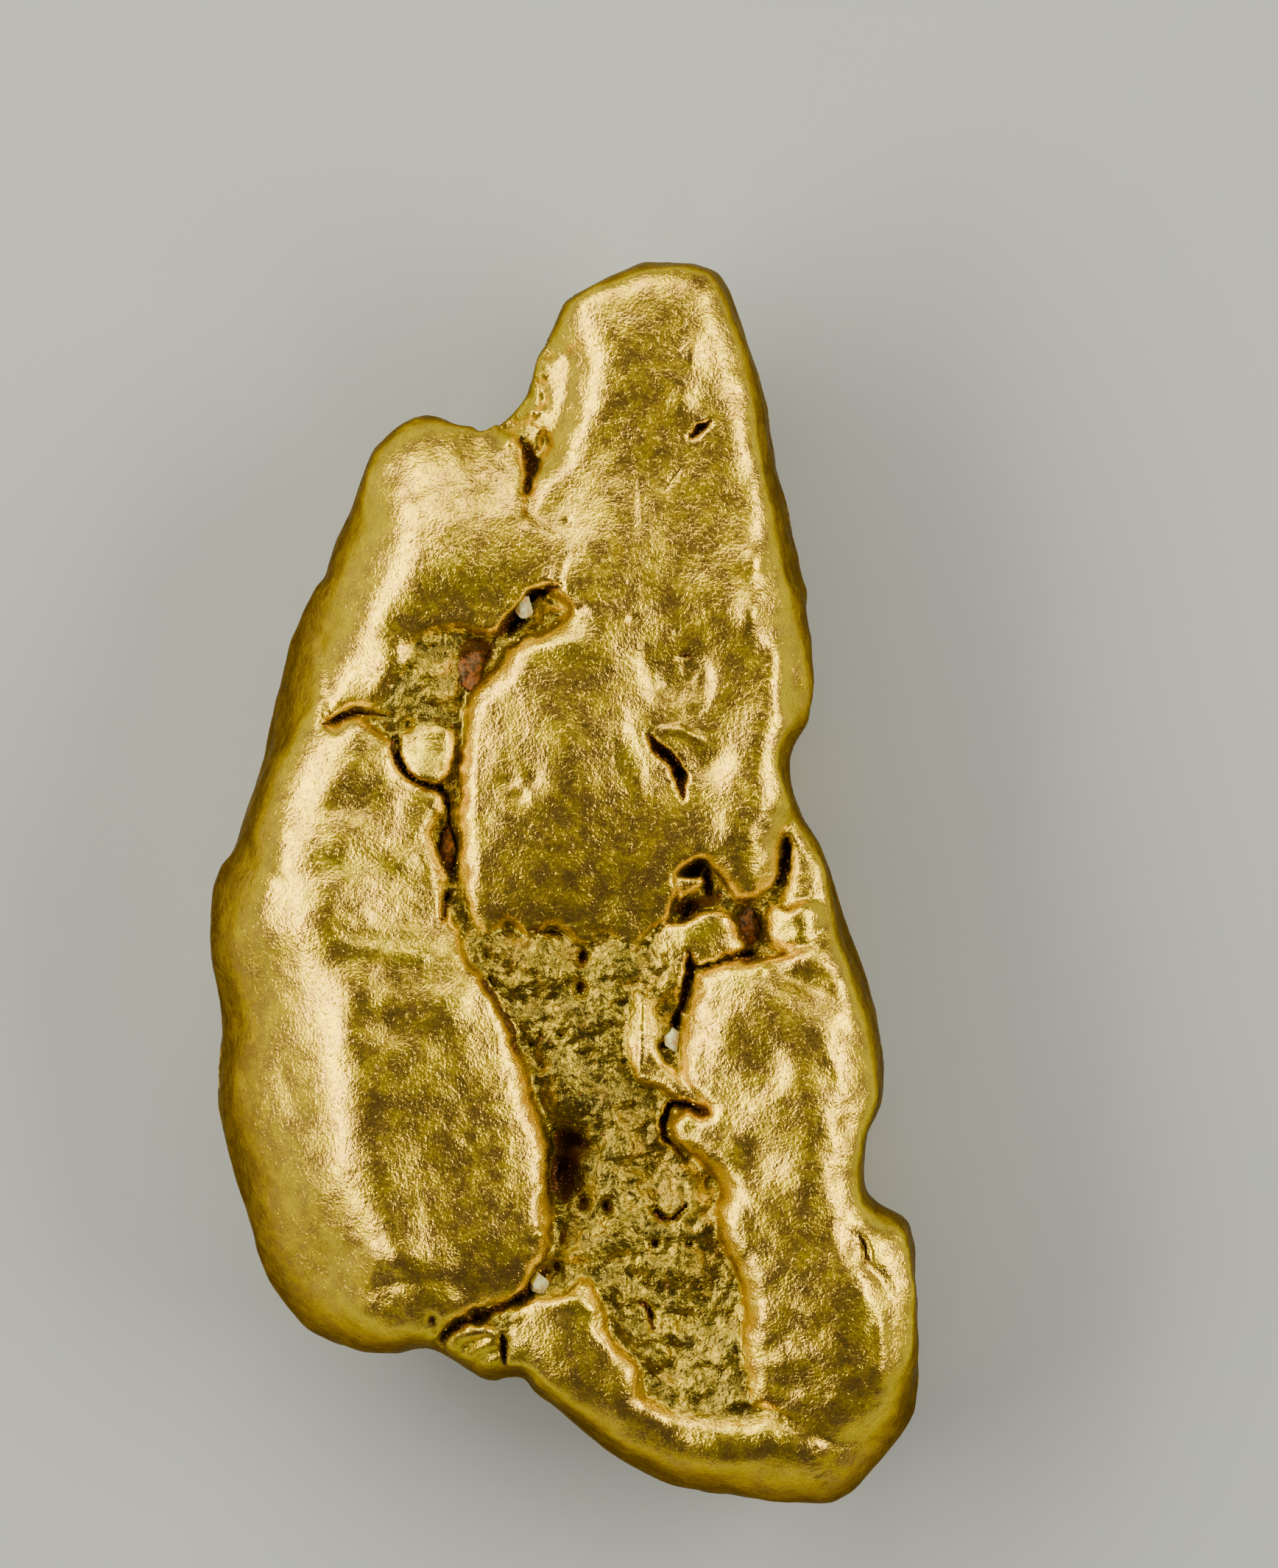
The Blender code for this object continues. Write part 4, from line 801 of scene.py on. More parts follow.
# Clefts with vein stone or dirt in them: x, y, half width and depth.
CRACKS = clefts(
    [(-0.95, 10.6, 0.12, 0.2), (-0.8, 10.1, 0.2, 0.7), (-0.82, 9.7, 0.18, 0.6), (-0.85, 9.3, 0.12, 0.2)],
    [(3.1, 10.7, 0.1, 0.15), (3.25, 10.84, 0.16, 0.5), (3.4, 10.96, 0.14, 0.4), (3.55, 11.07, 0.08, 0.1)],
    [(2.0, 3.55, 0.12, 0.15), (2.25, 3.25, 0.2, 0.6), (2.6, 2.95, 0.24, 0.9), (2.82, 2.6, 0.2, 0.8)],
    [(2.8, 2.65, 0.2, 0.7), (2.86, 2.35, 0.16, 0.6), (2.9, 2.05, 0.1, 0.2)],
    [(-5.8, 3.85, 0.1, 0.1), (-5.2, 4.02, 0.13, 0.35), (-4.7, 4.1, 0.13, 0.35), (-4.3, 4.0, 0.12, 0.2)],
    [(-1.6, 5.95, 0.2, 0.3), (-1.25, 6.2, 0.24, 0.7), (-1.0, 6.55, 0.26, 0.8), (-0.75, 6.9, 0.2, 0.6)],
    [(-0.78, 6.85, 0.16, 0.5), (-0.4, 7.03, 0.14, 0.45), (-0.05, 7.17, 0.1, 0.15)],
    [(-4.15, 3.45, 0.08, 0.1), (-3.98, 3.0, 0.13, 0.45), (-3.65, 2.6, 0.14, 0.5), (-3.3, 2.35, 0.13, 0.45)],
    [(-3.3, 2.35, 0.13, 0.4), (-2.95, 2.2, 0.12, 0.4), (-2.75, 1.8, 0.12, 0.35), (-2.7, 1.4, 0.12, 0.3)],
    [(-2.78, 1.3, 0.2, 0.3), (-2.72, 0.8, 0.3, 0.5), (-2.68, 0.3, 0.22, 0.45), (-2.62, 0.0, 0.14, 0.2)],
    [(-2.72, -0.25, 0.1, 0.15), (-2.8, -0.55, 0.13, 0.4), (-2.86, -0.85, 0.1, 0.2)],
    [(5.45, 1.1, 0.14, 0.3), (5.36, 0.75, 0.2, 0.6), (5.25, 0.35, 0.18, 0.5), (5.05, 0.0, 0.12, 0.2)],
    [(3.0, -1.6, 0.1, 0.15), (3.08, -2.0, 0.14, 0.4), (2.92, -2.7, 0.18, 0.5), (2.7, -3.3, 0.2, 0.5)],
    [(2.72, -3.25, 0.2, 0.5), (2.55, -3.75, 0.2, 0.4), (2.4, -3.95, 0.14, 0.1)],
    [(-1.85, -2.3, 0.1, 0.2), (-1.62, -2.75, 0.14, 0.5), (-1.3, -3.35, 0.13, 0.4), (-1.1, -4.0, 0.1, 0.15)],
    [(3.5, -5.5, 0.12, 0.2), (3.1, -5.38, 0.16, 0.5), (2.6, -5.3, 0.18, 0.6), (2.45, -5.65, 0.16, 0.45)],
    [(2.45, -5.6, 0.16, 0.4), (2.45, -6.05, 0.16, 0.4), (2.85, -6.5, 0.12, 0.15)],
    [(2.25, -7.9, 0.12, 0.2), (2.6, -8.05, 0.15, 0.4), (2.95, -7.7, 0.12, 0.2)],
    [(-1.45, -10.9, 0.12, 0.3), (-1.42, -11.4, 0.14, 0.4), (-1.35, -11.9, 0.14, 0.3)],
    [
        (-2.9, -11.5, 0.12, 0.2), (-2.85, -11.0, 0.14, 0.4), (-2.4, -10.55, 0.14, 0.4),
        (-1.8, -10.35, 0.14, 0.3),
    ],
    [(-1.85, -10.3, 0.14, 0.3), (-1.3, -10.1, 0.16, 0.45), (-0.8, -9.75, 0.2, 0.4), (-0.4, -9.3, 0.16, 0.2)],
    [(4.5, -1.7, 0.14, 0.35), (4.1, -1.78, 0.13, 0.35), (3.6, -1.95, 0.1, 0.25), (3.15, -2.0, 0.1, 0.15)],
    [(3.45, 0.3, 0.12, 0.3), (3.45, 0.05, 0.15, 0.5), (3.5, -0.25, 0.14, 0.3)],
    [(-0.75, -1.08, 0.08, 0.05), (-0.4, -1.16, 0.12, 0.22), (-0.05, -1.2, 0.08, 0.05)],
    [(2.75, 5.36, 0.08, 0.05), (2.92, 5.43, 0.1, 0.18), (3.08, 5.45, 0.08, 0.05)],
    [(7.1, -8.5, 0.1, 0.1), (7.2, -8.75, 0.14, 0.25), (7.28, -8.98, 0.1, 0.1)],
    [(1.8, -10.0, 0.1, 0.1), (2.1, -10.3, 0.13, 0.2), (2.15, -10.75, 0.1, 0.1)],
)

# Seams, wrinkles and scratches in the gold, and ridges where the depth is below zero.
CREASES = clefts(
    [(-2.9, 8.2, 0.08, 0.03), (-2.7, 7.95, 0.09, 0.05), (-2.5, 7.7, 0.08, 0.03)],
    [(1.85, 9.6, 0.08, 0.03), (1.88, 8.9, 0.1, 0.06), (1.85, 8.35, 0.08, 0.03)],
    [(0.1, 7.85, 0.08, 0.03), (0.0, 7.6, 0.09, 0.06), (-0.1, 7.3, 0.08, 0.04)],
    [(2.4, 9.4, 0.08, 0.03), (2.65, 9.7, 0.09, 0.06), (2.85, 9.95, 0.08, 0.03)],
    [(1.37, 4.25, 0.25, -0.01), (1.5, 3.4, 0.4, -0.05), (1.75, 2.6, 0.4, -0.05), (1.95, 2.05, 0.25, -0.01)],
    [(2.35, 3.7, 0.14, -0.05), (2.9, 3.62, 0.2, -0.14), (3.35, 3.4, 0.14, -0.05)],
    [(1.95, 5.85, 0.2, 0.01), (2.0, 5.0, 0.3, 0.03), (2.3, 4.3, 0.2, 0.01)],
    [(3.05, 5.6, 0.2, 0.01), (3.45, 5.0, 0.26, 0.045), (3.3, 4.2, 0.22, 0.03), (2.9, 4.0, 0.14, 0.01)],
    [(1.84, -2.3, 0.16, -0.04), (1.92, -3.4, 0.2, -0.1), (1.85, -4.4, 0.16, -0.06)],
    [
        (6.5, -8.0, 0.3, -0.02), (6.68, -9.2, 0.45, -0.05), (7.3, -9.8, 0.45, -0.05),
        (7.62, -10.7, 0.4, -0.04),
    ],
    [(7.62, -10.6, 0.3, -0.08), (7.66, -11.4, 0.3, -0.05), (7.6, -12.0, 0.2, -0.01)],
    [(6.95, -8.3, 0.2, 0.03), (7.2, -9.0, 0.28, 0.09), (7.6, -9.4, 0.28, 0.08), (7.95, -10.2, 0.2, 0.02)],
    [(5.3, -10.15, 0.12, 0.02), (5.7, -10.4, 0.16, 0.06), (6.1, -10.8, 0.12, 0.02)],
    [(5.9, -1.85, 0.3, -0.01), (6.45, -2.2, 0.45, -0.03), (6.8, -2.75, 0.3, -0.01)],
    [(5.9, -3.1, 0.4, -0.02), (6.4, -3.9, 0.6, -0.06), (6.62, -5.0, 0.4, -0.02)],
    [(-3.5, -11.3, 0.12, 0.05), (-3.2, -10.8, 0.16, 0.12), (-2.7, -10.5, 0.12, 0.06)],
    [(-2.7, -11.5, 0.14, 0.1), (-2.3, -11.1, 0.2, 0.28), (-1.8, -10.85, 0.16, 0.16)],
    [(-2.3, -11.8, 0.12, 0.1), (-1.95, -11.4, 0.18, 0.26), (-1.55, -11.2, 0.14, 0.14)],
    [(-5.3, -1.2, 0.2, 0.02), (-4.4, -1.35, 0.3, 0.05), (-3.2, -1.45, 0.25, 0.03)],
    [
        (0.95, -10.2, 0.1, -0.03), (1.05, -10.8, 0.12, -0.1), (1.5, -11.3, 0.12, -0.1),
        (1.86, -11.8, 0.1, -0.05),
    ],
    [(-0.3, -9.9, 0.3, -0.04), (0.3, -10.0, 0.4, -0.12), (0.7, -10.2, 0.25, -0.04)],
)

# Hollows of the gold, and bumps where the amount is below zero.
HOLLOWS = spots(
    (-5.0, -1.7, 0.9, 0.4, 10, 0.08), (-5.0, 0.45, 1.0, 0.3, 5, 0.05), (-5.0, 1.9, 0.7, 0.5, 20, 0.16),
    (-3.8, 0.55, 0.4, 0.3, 0, -0.08), (-4.0, -1.6, 1.2, 0.3, -5, -0.1), (-2.6, -2.9, 0.5, 0.5, 0, -0.08),
    (-4.2, -3.4, 0.9, 0.5, -10, 0.15), (-3.0, -7.0, 0.8, 0.6, 20, 0.08),
    (-4.0, -8.9, 0.6, 0.45, 0, -0.12), (-4.0, -9.5, 0.7, 0.4, 20, 0.12),
    (-7.6, -4.7, 0.4, 0.3, 60, 0.12), (-1.8, 9.3, 0.5, 0.28, 10, 0.08), (-2.4, 7.4, 0.8, 0.5, 0, -0.1),
    (2.9, 5.0, 0.7, 0.55, 15, 0.14), (2.7, 5.0, 0.25, 0.4, 0, -0.05), (3.5, 2.85, 0.5, 0.35, 0, 0.1),
    (-1.25, 2.45, 0.22, 0.16, 0, 0.06), (-0.7, 2.5, 0.2, 0.2, 0, 0.06), (-1.0, 2.1, 0.2, 0.15, 0, 0.06),
    (0.1, 6.35, 0.55, 0.45, 0, 0.14), (0.0, 5.7, 0.8, 0.3, 0, -0.1), (5.6, 4.3, 0.3, 0.7, 10, 0.5),
    (3.1, 12.7, 0.3, 0.45, 0, -0.1), (2.85, 11.5, 0.35, 0.45, 0, -0.1), (4.0, 8.6, 0.5, 0.8, 0, 0.08),
    (5.2, 8.5, 0.12, 0.3, 0, 0.15), (4.6, 7.7, 0.3, 0.4, 0, -0.14), (4.5, 6.4, 0.35, 0.5, 0, -0.14),
    (5.1, 5.4, 0.3, 0.5, 0, -0.1), (5.0, -4.3, 0.5, 0.6, 0, 0.08), (5.6, -2.3, 0.9, 0.4, -25, 0.25),
    (4.75, -1.95, 0.2, 0.18, 0, -0.12), (4.6, -6.6, 0.5, 0.7, 0, 0.1), (6.0, -8.6, 0.5, 0.5, 0, 0.06),
    (6.8, -5.8, 0.3, 0.4, 0, 0.12), (5.2, -11.4, 0.25, 0.3, 0, -0.08), (6.8, -8.6, 0.3, 0.5, 0, 0.06),
    (2.35, -7.2, 0.4, 0.75, 5, 0.4), (-0.85, 11.75, 0.12, 0.2, 0, 0.3),
    (-0.55, 12.2, 0.14, 0.15, 0, -0.25), (-1.15, 11.0, 0.2, 0.12, 0, 0.3),
    (-0.35, 12.7, 0.12, 0.15, 0, 0.3), (-0.75, 11.3, 0.14, 0.12, 0, -0.25),
    (-0.45, 10.6, 0.12, 0.25, 0, 0.3), (-0.45, 11.6, 0.1, 0.2, 0, 0.25),
    (-1.3, 10.6, 0.15, 0.12, 0, -0.2), (-0.1, 13.1, 0.14, 0.15, 0, -0.2),
    (4.25, -11.9, 0.3, 0.2, 20, 0.12), (4.2, -12.4, 0.2, 0.14, 0, -0.1),
    (0.42, -6.7, 0.14, 0.16, 0, -0.25), (-5.5, 6.3, 0.35, 0.25, 50, 0.05),
    (-5.9, 8.0, 0.2, 0.3, 0, 0.08), (-0.5, -7.3, 0.14, 0.2, 0, -0.08), (-0.5, -8.35, 0.2, 0.22, 0, -0.2),
    (-0.2, -8.0, 0.12, 0.14, 0, -0.2), (0.2, -8.9, 0.2, 0.16, 0, -0.2),
    (3.15, -9.4, 0.25, 0.3, 40, -0.15), (2.6, -9.3, 0.25, 0.3, 10, -0.12),
    (2.6, -10.5, 0.14, 0.2, 0, -0.14), (-6.3, -9.0, 0.3, 0.5, 40, 0.05), (-7.3, -2.2, 0.3, 0.5, 0, 0.06),
)

# Dark pits, as hollows.
PITS = spots(
    (0.47, -1.8, 0.13, 0.2, 0, 0.4), (0.42, -2.45, 0.13, 0.19, 0, 0.4),
    (-0.75, -3.85, 0.12, 0.1, 0, 0.25), (-0.53, -3.6, 0.12, 0.1, 0, 0.25),
    (-0.06, -3.67, 0.13, 0.1, 0, 0.25), (-0.02, -7.0, 0.32, 0.7, 0, 0.5),
    (0.0, -6.2, 0.25, 0.35, 20, 0.5), (0.4, -6.25, 0.35, 0.18, -25, 0.35),
    (-0.02, -8.5, 0.16, 0.35, 0, 0.25), (2.19, -8.61, 0.15, 0.13, 0, 0.35),
    (3.01, -8.66, 0.13, 0.12, 0, 0.3), (1.06, -7.75, 0.18, 0.2, 0, 0.35),
    (3.1, 0.37, 0.26, 0.16, 0, 0.45), (2.95, -0.62, 0.36, 0.2, -15, 0.4),
    (4.45, -1.05, 0.34, 0.55, 0, 0.4), (0.1, 8.66, 0.08, 0.07, 0, 0.12),
    (-2.06, -10.4, 0.16, 0.2, 0, 0.35), (-3.15, -10.45, 0.14, 0.18, 10, 0.3),
    (-1.05, -10.0, 0.15, 0.14, 0, 0.3), (3.25, -12.5, 0.3, 0.26, 0, 0.2), (-0.5, 6.6, 0.1, 0.1, 0, 0.12),
    (0.45, 6.55, 0.1, 0.1, 0, 0.12), (1.69, 6.29, 0.09, 0.09, 0, 0.08), (0.5, -7.7, 0.2, 0.25, 0, 0.3),
    (-0.15, -9.2, 0.14, 0.2, 0, 0.3), (1.35, -9.0, 0.16, 0.12, 0, 0.2), (2.75, 6.0, 0.08, 0.08, 0, 0.06),
    (-1.3, -2.2, 0.12, 0.1, 0, 0.15), (-1.8, -1.75, 0.12, 0.12, 0, 0.18),
    (1.25, -2.9, 0.1, 0.14, 0, 0.15), (-5.0, -6.9, 0.1, 0.08, 0, 0.05), (-2.3, -6.1, 0.08, 0.1, 0, 0.05),
    (-3.6, -9.1, 0.1, 0.08, 0, 0.06),
)

# Rusty or dark places: shares of stain.
STAINS = spots(
    (-2.05, 5.6, 0.55, 0.4, 0, 1.0), (-2.2, 4.9, 0.35, 0.5, 10, 1.0), (-3.0, 3.9, 0.7, 0.25, 0, 0.6),
    (-2.8, 0.7, 0.25, 0.6, 0, 1.0), (-1.1, 6.35, 0.35, 0.25, 45, 0.9), (-0.4, 7.0, 0.3, 0.1, 20, 0.6),
    (2.98, -0.62, 0.45, 0.3, -15, 1.0), (3.1, 0.37, 0.35, 0.2, 0, 0.9), (3.6, -0.35, 0.5, 0.35, 0, 0.7),
    (4.45, -1.1, 0.45, 0.65, 0, 0.9), (0.0, -6.9, 0.4, 0.9, 0, 0.9), (0.6, -6.6, 0.4, 0.5, 0, 0.3),
    (-0.7, -9.65, 0.4, 0.4, 0, 0.4), (-2.05, -10.4, 0.25, 0.3, 0, 0.8),
    (-3.15, -10.45, 0.2, 0.22, 0, 0.6), (2.7, -9.4, 0.6, 0.4, 60, 0.5), (2.2, -8.0, 0.7, 0.2, 0, 0.5),
    (1.1, -7.8, 0.3, 0.3, 0, 0.5), (3.2, -12.5, 0.35, 0.3, 0, 0.5), (2.9, 3.6, 0.5, 0.2, 0, 0.25),
    (-0.6, -3.75, 0.35, 0.2, 20, 0.6), (0.6, -4.9, 1.1, 0.9, 20, 0.42), (1.0, -6.3, 1.0, 0.6, 0, 0.3),
    (-0.2, -3.3, 0.6, 0.5, 0, 0.25), (2.85, -2.7, 0.14, 0.6, -10, 0.7), (5.3, 0.6, 0.2, 0.5, 0, 0.6),
    (-0.85, 9.9, 0.16, 0.4, 0, 0.6),
)

# Granular places of the gold: shares of the floor's roughness.
GRANULAR = spots(
    (-1.0, 11.0, 0.6, 1.3, 0, 0.8), (-0.5, 12.6, 0.4, 0.9, 0, 0.6), (-1.0, -0.75, 1.1, 0.45, 5, 0.55),
    (1.2, -0.8, 1.1, 0.45, -5, 0.55), (0.1, 6.3, 0.6, 0.5, 0, 0.35), (2.8, 4.7, 0.8, 0.9, 0, 0.5),
    (-3.3, 0.7, 0.35, 1.0, 0, 0.35), (-2.3, -1.4, 0.5, 0.7, 20, 0.5), (-2.2, -11.2, 0.8, 0.5, 0, 0.5),
    (2.7, 3.7, 0.7, 0.3, 20, 0.35), (-3.4, 2.2, 0.5, 0.3, 0, 0.4), (3.6, -6.9, 0.3, 0.8, 15, 0.4),
    (4.3, -9.6, 0.3, 0.9, 10, 0.4), (0.9, -10.2, 0.25, 0.5, 0, 0.4), (5.5, -1.1, 0.5, 0.4, 0, 0.35),
)

# Rubbed patches, paler and brighter than what is round them: part wear, part painted highlight.
RUBBED_AND_HIGHLIGHTS = spots(
    (-5.2, 0.45, 0.9, 0.35, 0, 0.8), (-3.8, 0.55, 0.35, 0.25, 0, 0.6), (-4.0, -1.6, 1.3, 0.35, -5, 0.8),
    (-2.6, -2.9, 0.55, 0.5, 0, 0.6), (-3.3, 3.1, 0.6, 0.5, 0, 0.9), (4.1, -2.3, 0.7, 0.35, 0, 0.7),
    (3.2, -1.1, 0.6, 0.25, 0, 0.7), (5.4, -1.1, 0.6, 0.45, 0, 0.6), (0.2, -10.0, 0.8, 0.7, 0, 0.3),
    (4.3, -13.3, 1.2, 0.35, 5, 0.6), (0.0, 5.75, 0.9, 0.4, 0, 0.5), (-2.2, 7.4, 1.4, 0.6, 0, 0.4),
    (1.65, 3.1, 0.25, 0.9, 0, 0.5), (-1.0, -11.3, 0.4, 0.4, 0, 0.5), (3.0, -5.8, 0.4, 0.25, 0, 0.5),
    (-0.7, 11.8, 0.5, 1.3, 0, 0.5), (7.3, -10.3, 0.35, 0.8, 0, 0.5), (-3.5, -4.5, 1.2, 0.8, 0, 0.2),
)

# Spot heights of the back, below zero where it is worn flat, and its hollows.
BACK = [
    (-0.8, -1, -0.4), (-4.2, -1, 0), (2.6, -1.5, 0), (-1, 4.5, 0), (0.5, -6.5, 0), (-3.5, 3.5, 0.2),
    (2.5, 4, 0.3), (-3.5, -6, 0.25), (4, -6, 0.3), (1.5, 8.5, 0.9), (2.3, 13.5, 2.2), (-4, 9, 1.5),
    (-7, 0, 0.7), (-7.3, -5, 0.8), (-5, -9.5, 0.9), (0, -11, 0.8), (4.5, -12, 0.9), (7.5, -11.5, 1.1),
    (7, -7, 0.9), (6.3, -2.5, 0.7), (5.2, 3, 0.8), (5, 8, 1.3),
]
BACK_HOLLOWS = spots(
    (1.5, 8.0, 2.2, 0.45, 65, 0.45), (-4.6, 3.6, 1.6, 0.5, 20, 0.4), (5.0, -1.0, 1.4, 0.4, 80, 0.45),
    (0.5, -8.5, 1.8, 0.5, 35, 0.5), (-5.2, -5.0, 0.8, 0.6, 0, 0.25), (5.8, -10.2, 0.7, 0.9, 20, 0.3),
    (-2.2, 9.0, 0.8, 0.5, 10, 0.25), (3.6, 12.2, 0.5, 0.7, 0, 0.2), (-2.5, -10.0, 0.6, 0.5, 0, 0.3),
)


# --- The relief --------------------------------------------------------------------------------


@dataclass(frozen=True)
class Relief:
    """The nugget's heights over its plan, with the shares that its finish reads. In millimetres.

    A table of swells gives their periods and heights. A band gives where a mask starts and where
    it is full.

    Args:
        fillet: The fillet where a lobe meets what is under it.
        front_swells: Swells of the whole front.
        floor_swells: Swells of its rough places.
        back_swells: Swells of the back.
        wobble: Swells that the tables' shapes are moved by.
        drift: Swells that the pits are moved by.
        pits: Periods and depths of the rough places' pits.
        pit_detail: Height and period of a pit's own swell, next to the pit's.
        pit_detail_seed: How far that swell's seed is from the pit's.
        pit_band: The swell where a pit starts, and where it is deepest.
        floor_band: Heights over the floor where the roughness starts to fade, and where it is gone.
        floor_edge: Period and height of the swell that makes the roughness end unevenly.
        granular_swell: Period, base and height of the swell that makes granular places uneven.
        stain_base: Share of a stain that smooth gold takes.
        stained_cleft: How near a cleft's middle its stain starts, and where it is full.
        pit_darkening: How much a pit is darkened for each millimetre of its depth, and the most of it.
        granular_moved: Multiple of the wobble that moves the granular places.
        crack_moved: The same for the clefts.
        crease_moved: The same for the creases.
        pit_moved: The same for the dark pits.
        rubbed_and_highlight_moved: The same for the worn patches with their painted highlight.
    """

    fillet: float = 0.06
    front_swells: Rows = ((2.6, 0.09), (1.1, 0.035), (0.55, 0.012), (0.28, 0.004))
    floor_swells: Rows = ((1.3, 0.12), (0.6, 0.07), (0.3, 0.035), (0.17, 0.015))
    back_swells: Rows = ((3.4, 0.14), (1.4, 0.06), (0.6, 0.02))
    wobble: Rows = ((0.7, 0.08), (0.28, 0.045))
    drift: Rows = ((1.1, 0.3), (0.45, 0.16))
    pits: Rows = ((1.3, 0.2), (0.7, 0.14), (0.4, 0.08), (0.28, 0.06))
    pit_detail: tuple[float, float] = (0.4, 0.45)
    pit_detail_seed: int = 9
    pit_band: tuple[float, float] = (0.15, 0.9)
    floor_band: tuple[float, float] = (0.03, 0.3)
    floor_edge: tuple[float, float] = (0.5, 0.12)
    granular_swell: tuple[float, float, float] = (0.45, 0.75, 0.5)
    stain_base: float = 0.25
    stained_cleft: tuple[float, float] = (0.45, 0.8)
    pit_darkening: tuple[float, float] = (3, 0.9)
    granular_moved: float = 2
    crack_moved: float = 0.9
    crease_moved: float = 0.4
    pit_moved: float = 0.6
    rubbed_and_highlight_moved: float = 3

    def pile(self, low: np.ndarray, high: np.ndarray) -> np.ndarray:
        """The higher of two surfaces, with a small fillet where they meet."""
        gap = np.abs(high - low)
        return np.maximum(low, high) + np.maximum(self.fillet - gap, 0) ** 2 / (4 * self.fillet)

    def moves(self, plan: np.ndarray, table: Rows, seeds: tuple[Seed, Seed]) -> np.ndarray:
        """Small moves of the plan points, one a row."""
        return np.column_stack([swells(plan, table, seed) for seed in seeds])

    def front(self, plan: np.ndarray) -> tuple[np.ndarray, dict[str, np.ndarray]]:
        """The front.

        Args:
            plan: Points, one a row.

        Returns:
            Heights, and the shares of rough floor, of stain with the pits' darkening, and of worn gold with
            its painted highlight.
        """
        wobble = self.moves(plan, self.wobble, (Seed.WOBBLE_X, Seed.WOBBLE_Y))
        floor = bent_plate(plan, FLOOR)
        height = floor
        for lobe in LOBES:
            height = self.pile(height, lobe.heights(plan + wobble))
        rough = self.roughness(plan, wobble, height - floor)
        height = height + swells(plan, self.front_swells, Seed.FRONT)
        height = height + rough * swells(plan, self.floor_swells, Seed.FLOOR)
        height = height - rough * self.pitting(plan)
        stain = spread(STAINS, plan) * (self.stain_base + (1 - self.stain_base) * rough)
        for cleft in CRACKS:
            depth, middle = cleft.over(plan + self.crack_moved * wobble)
            height = height - depth
            stain = np.maximum(stain, smooth_step(middle, *self.stained_cleft))
        for cleft in CREASES:
            height = height - cleft.over(plan + self.crease_moved * wobble)[0]
        height = height - spread(HOLLOWS, plan)
        # Pits are darkened more the deeper they are.
        per_depth, most = self.pit_darkening
        for spot in PITS:
            depth = spot.over(plan + self.pit_moved * wobble)
            height = height - depth
            stain = np.maximum(stain, np.clip(depth * per_depth, 0, most))
        rubbed_and_highlight = spread(RUBBED_AND_HIGHLIGHTS, plan + self.rubbed_and_highlight_moved * wobble)
        return height, {"rough": rough, "stain": np.clip(stain, 0, 1), "rubbed_and_highlight": np.clip(rubbed_and_highlight, 0, 1)}

    def roughness(self, plan: np.ndarray, wobble: np.ndarray, over: np.ndarray) -> np.ndarray:
        """How rough the gold is.

        Args:
            plan: Points, one a row.
            wobble: Their small moves.
            over: How far the gold stands over the floor at each point.

        Returns:
            The share of roughness at each point.
        """
        period, high = self.floor_edge
        rough = 1 - smooth_step(over + high * swell(plan, period, Seed.FLOOR_EDGE), *self.floor_band)
        period, base, high = self.granular_swell
        uneven = base + high * swell(plan, period, Seed.GRANULAR)
        granular = np.clip(spread(GRANULAR, plan + self.granular_moved * wobble), 0, 1)
        return np.maximum(rough, granular * uneven)

    def pitting(self, plan: np.ndarray) -> np.ndarray:
        """Sharp, scattered pits of several sizes.

        Args:
            plan: Points, one a row.

        Returns:
            Their depth at each point.
        """
        drift = self.moves(plan, self.drift, (Seed.DRIFT_X, Seed.DRIFT_Y))
        high, finer = self.pit_detail
        depth = np.zeros(len(plan))
        for seed, (period, deepest) in enumerate(self.pits, Seed.PIT):
            detail = swell(plan, finer * period, seed + self.pit_detail_seed)
            deep = swell(plan + drift, period, seed) + high * detail
            depth += deepest * smooth_step(deep, *self.pit_band)
        return depth

    def back(self, plan: np.ndarray) -> np.ndarray:
        """The back's heights."""
        height = bent_plate(plan, BACK) + swells(plan, self.back_swells, Seed.BACK)
        return height + spread(BACK_HOLLOWS, plan)


# --- Meshes and pieces ---------------------------------------------------------------------------


def mesh_of(obj: bpy.types.Object, name: str) -> bpy.types.Mesh:
    """Carries out an object's modifiers and removes the object.

    Args:
        obj: The object.
        name: The new mesh's name.

    Returns:
        The mesh.
    """
    graph = bpy.context.evaluated_depsgraph_get()
    mesh = bpy.data.meshes.new_from_object(obj.evaluated_get(graph), depsgraph=graph)
    mesh.name = name
    bpy.data.objects.remove(obj, do_unlink=True)
    return mesh


def mesh_from(shape: bmesh.types.BMesh, name: str) -> bpy.types.Mesh:
    """Makes a mesh of a shape, which it frees.

    Args:
        shape: The shape.
        name: The mesh's name.

    Returns:
        The mesh.
    """
    mesh = bpy.data.meshes.new(name)
    shape.to_mesh(mesh)
    shape.free()
    return mesh


def linked(name: str, data: bpy.types.ID) -> bpy.types.Object:
    """Puts data in the scene.

    Args:
        name: The new object's name.
        data: A mesh, a curve, a light or a camera.

    Returns:
        The object.
    """
    obj = bpy.data.objects.new(name, data)
    bpy.context.scene.collection.objects.link(obj)
    return obj


def read(items: bpy.types.bpy_prop_collection, name: str, width: int, kind: type) -> np.ndarray:
    """Reads a mesh's values.

    Args:
        items: Its vertices, edges or normals.
        name: The values' name.
        width: How many values each item has.
        kind: The values' type.

    Returns:
        The values, one item a row.
    """
    values = np.empty(len(items) * width, kind)
    items.foreach_get(name, values)
    return values.reshape(-1, width)


def place(mesh: bpy.types.Mesh, points: np.ndarray) -> None:
    """Moves a mesh's points to these places, in metres."""
    mesh.vertices.foreach_set("co", points.ravel())
    mesh.update()


def smooth(mesh: bpy.types.Mesh, finish: bpy.types.Material) -> None:
    """Shades a mesh smoothly and gives it its finish.

    Args:
        mesh: The mesh.
        finish: Its only material.
    """
    mesh.polygons.foreach_set("use_smooth", np.ones(len(mesh.polygons), bool))
    mesh.materials.clear()
    mesh.materials.append(finish)


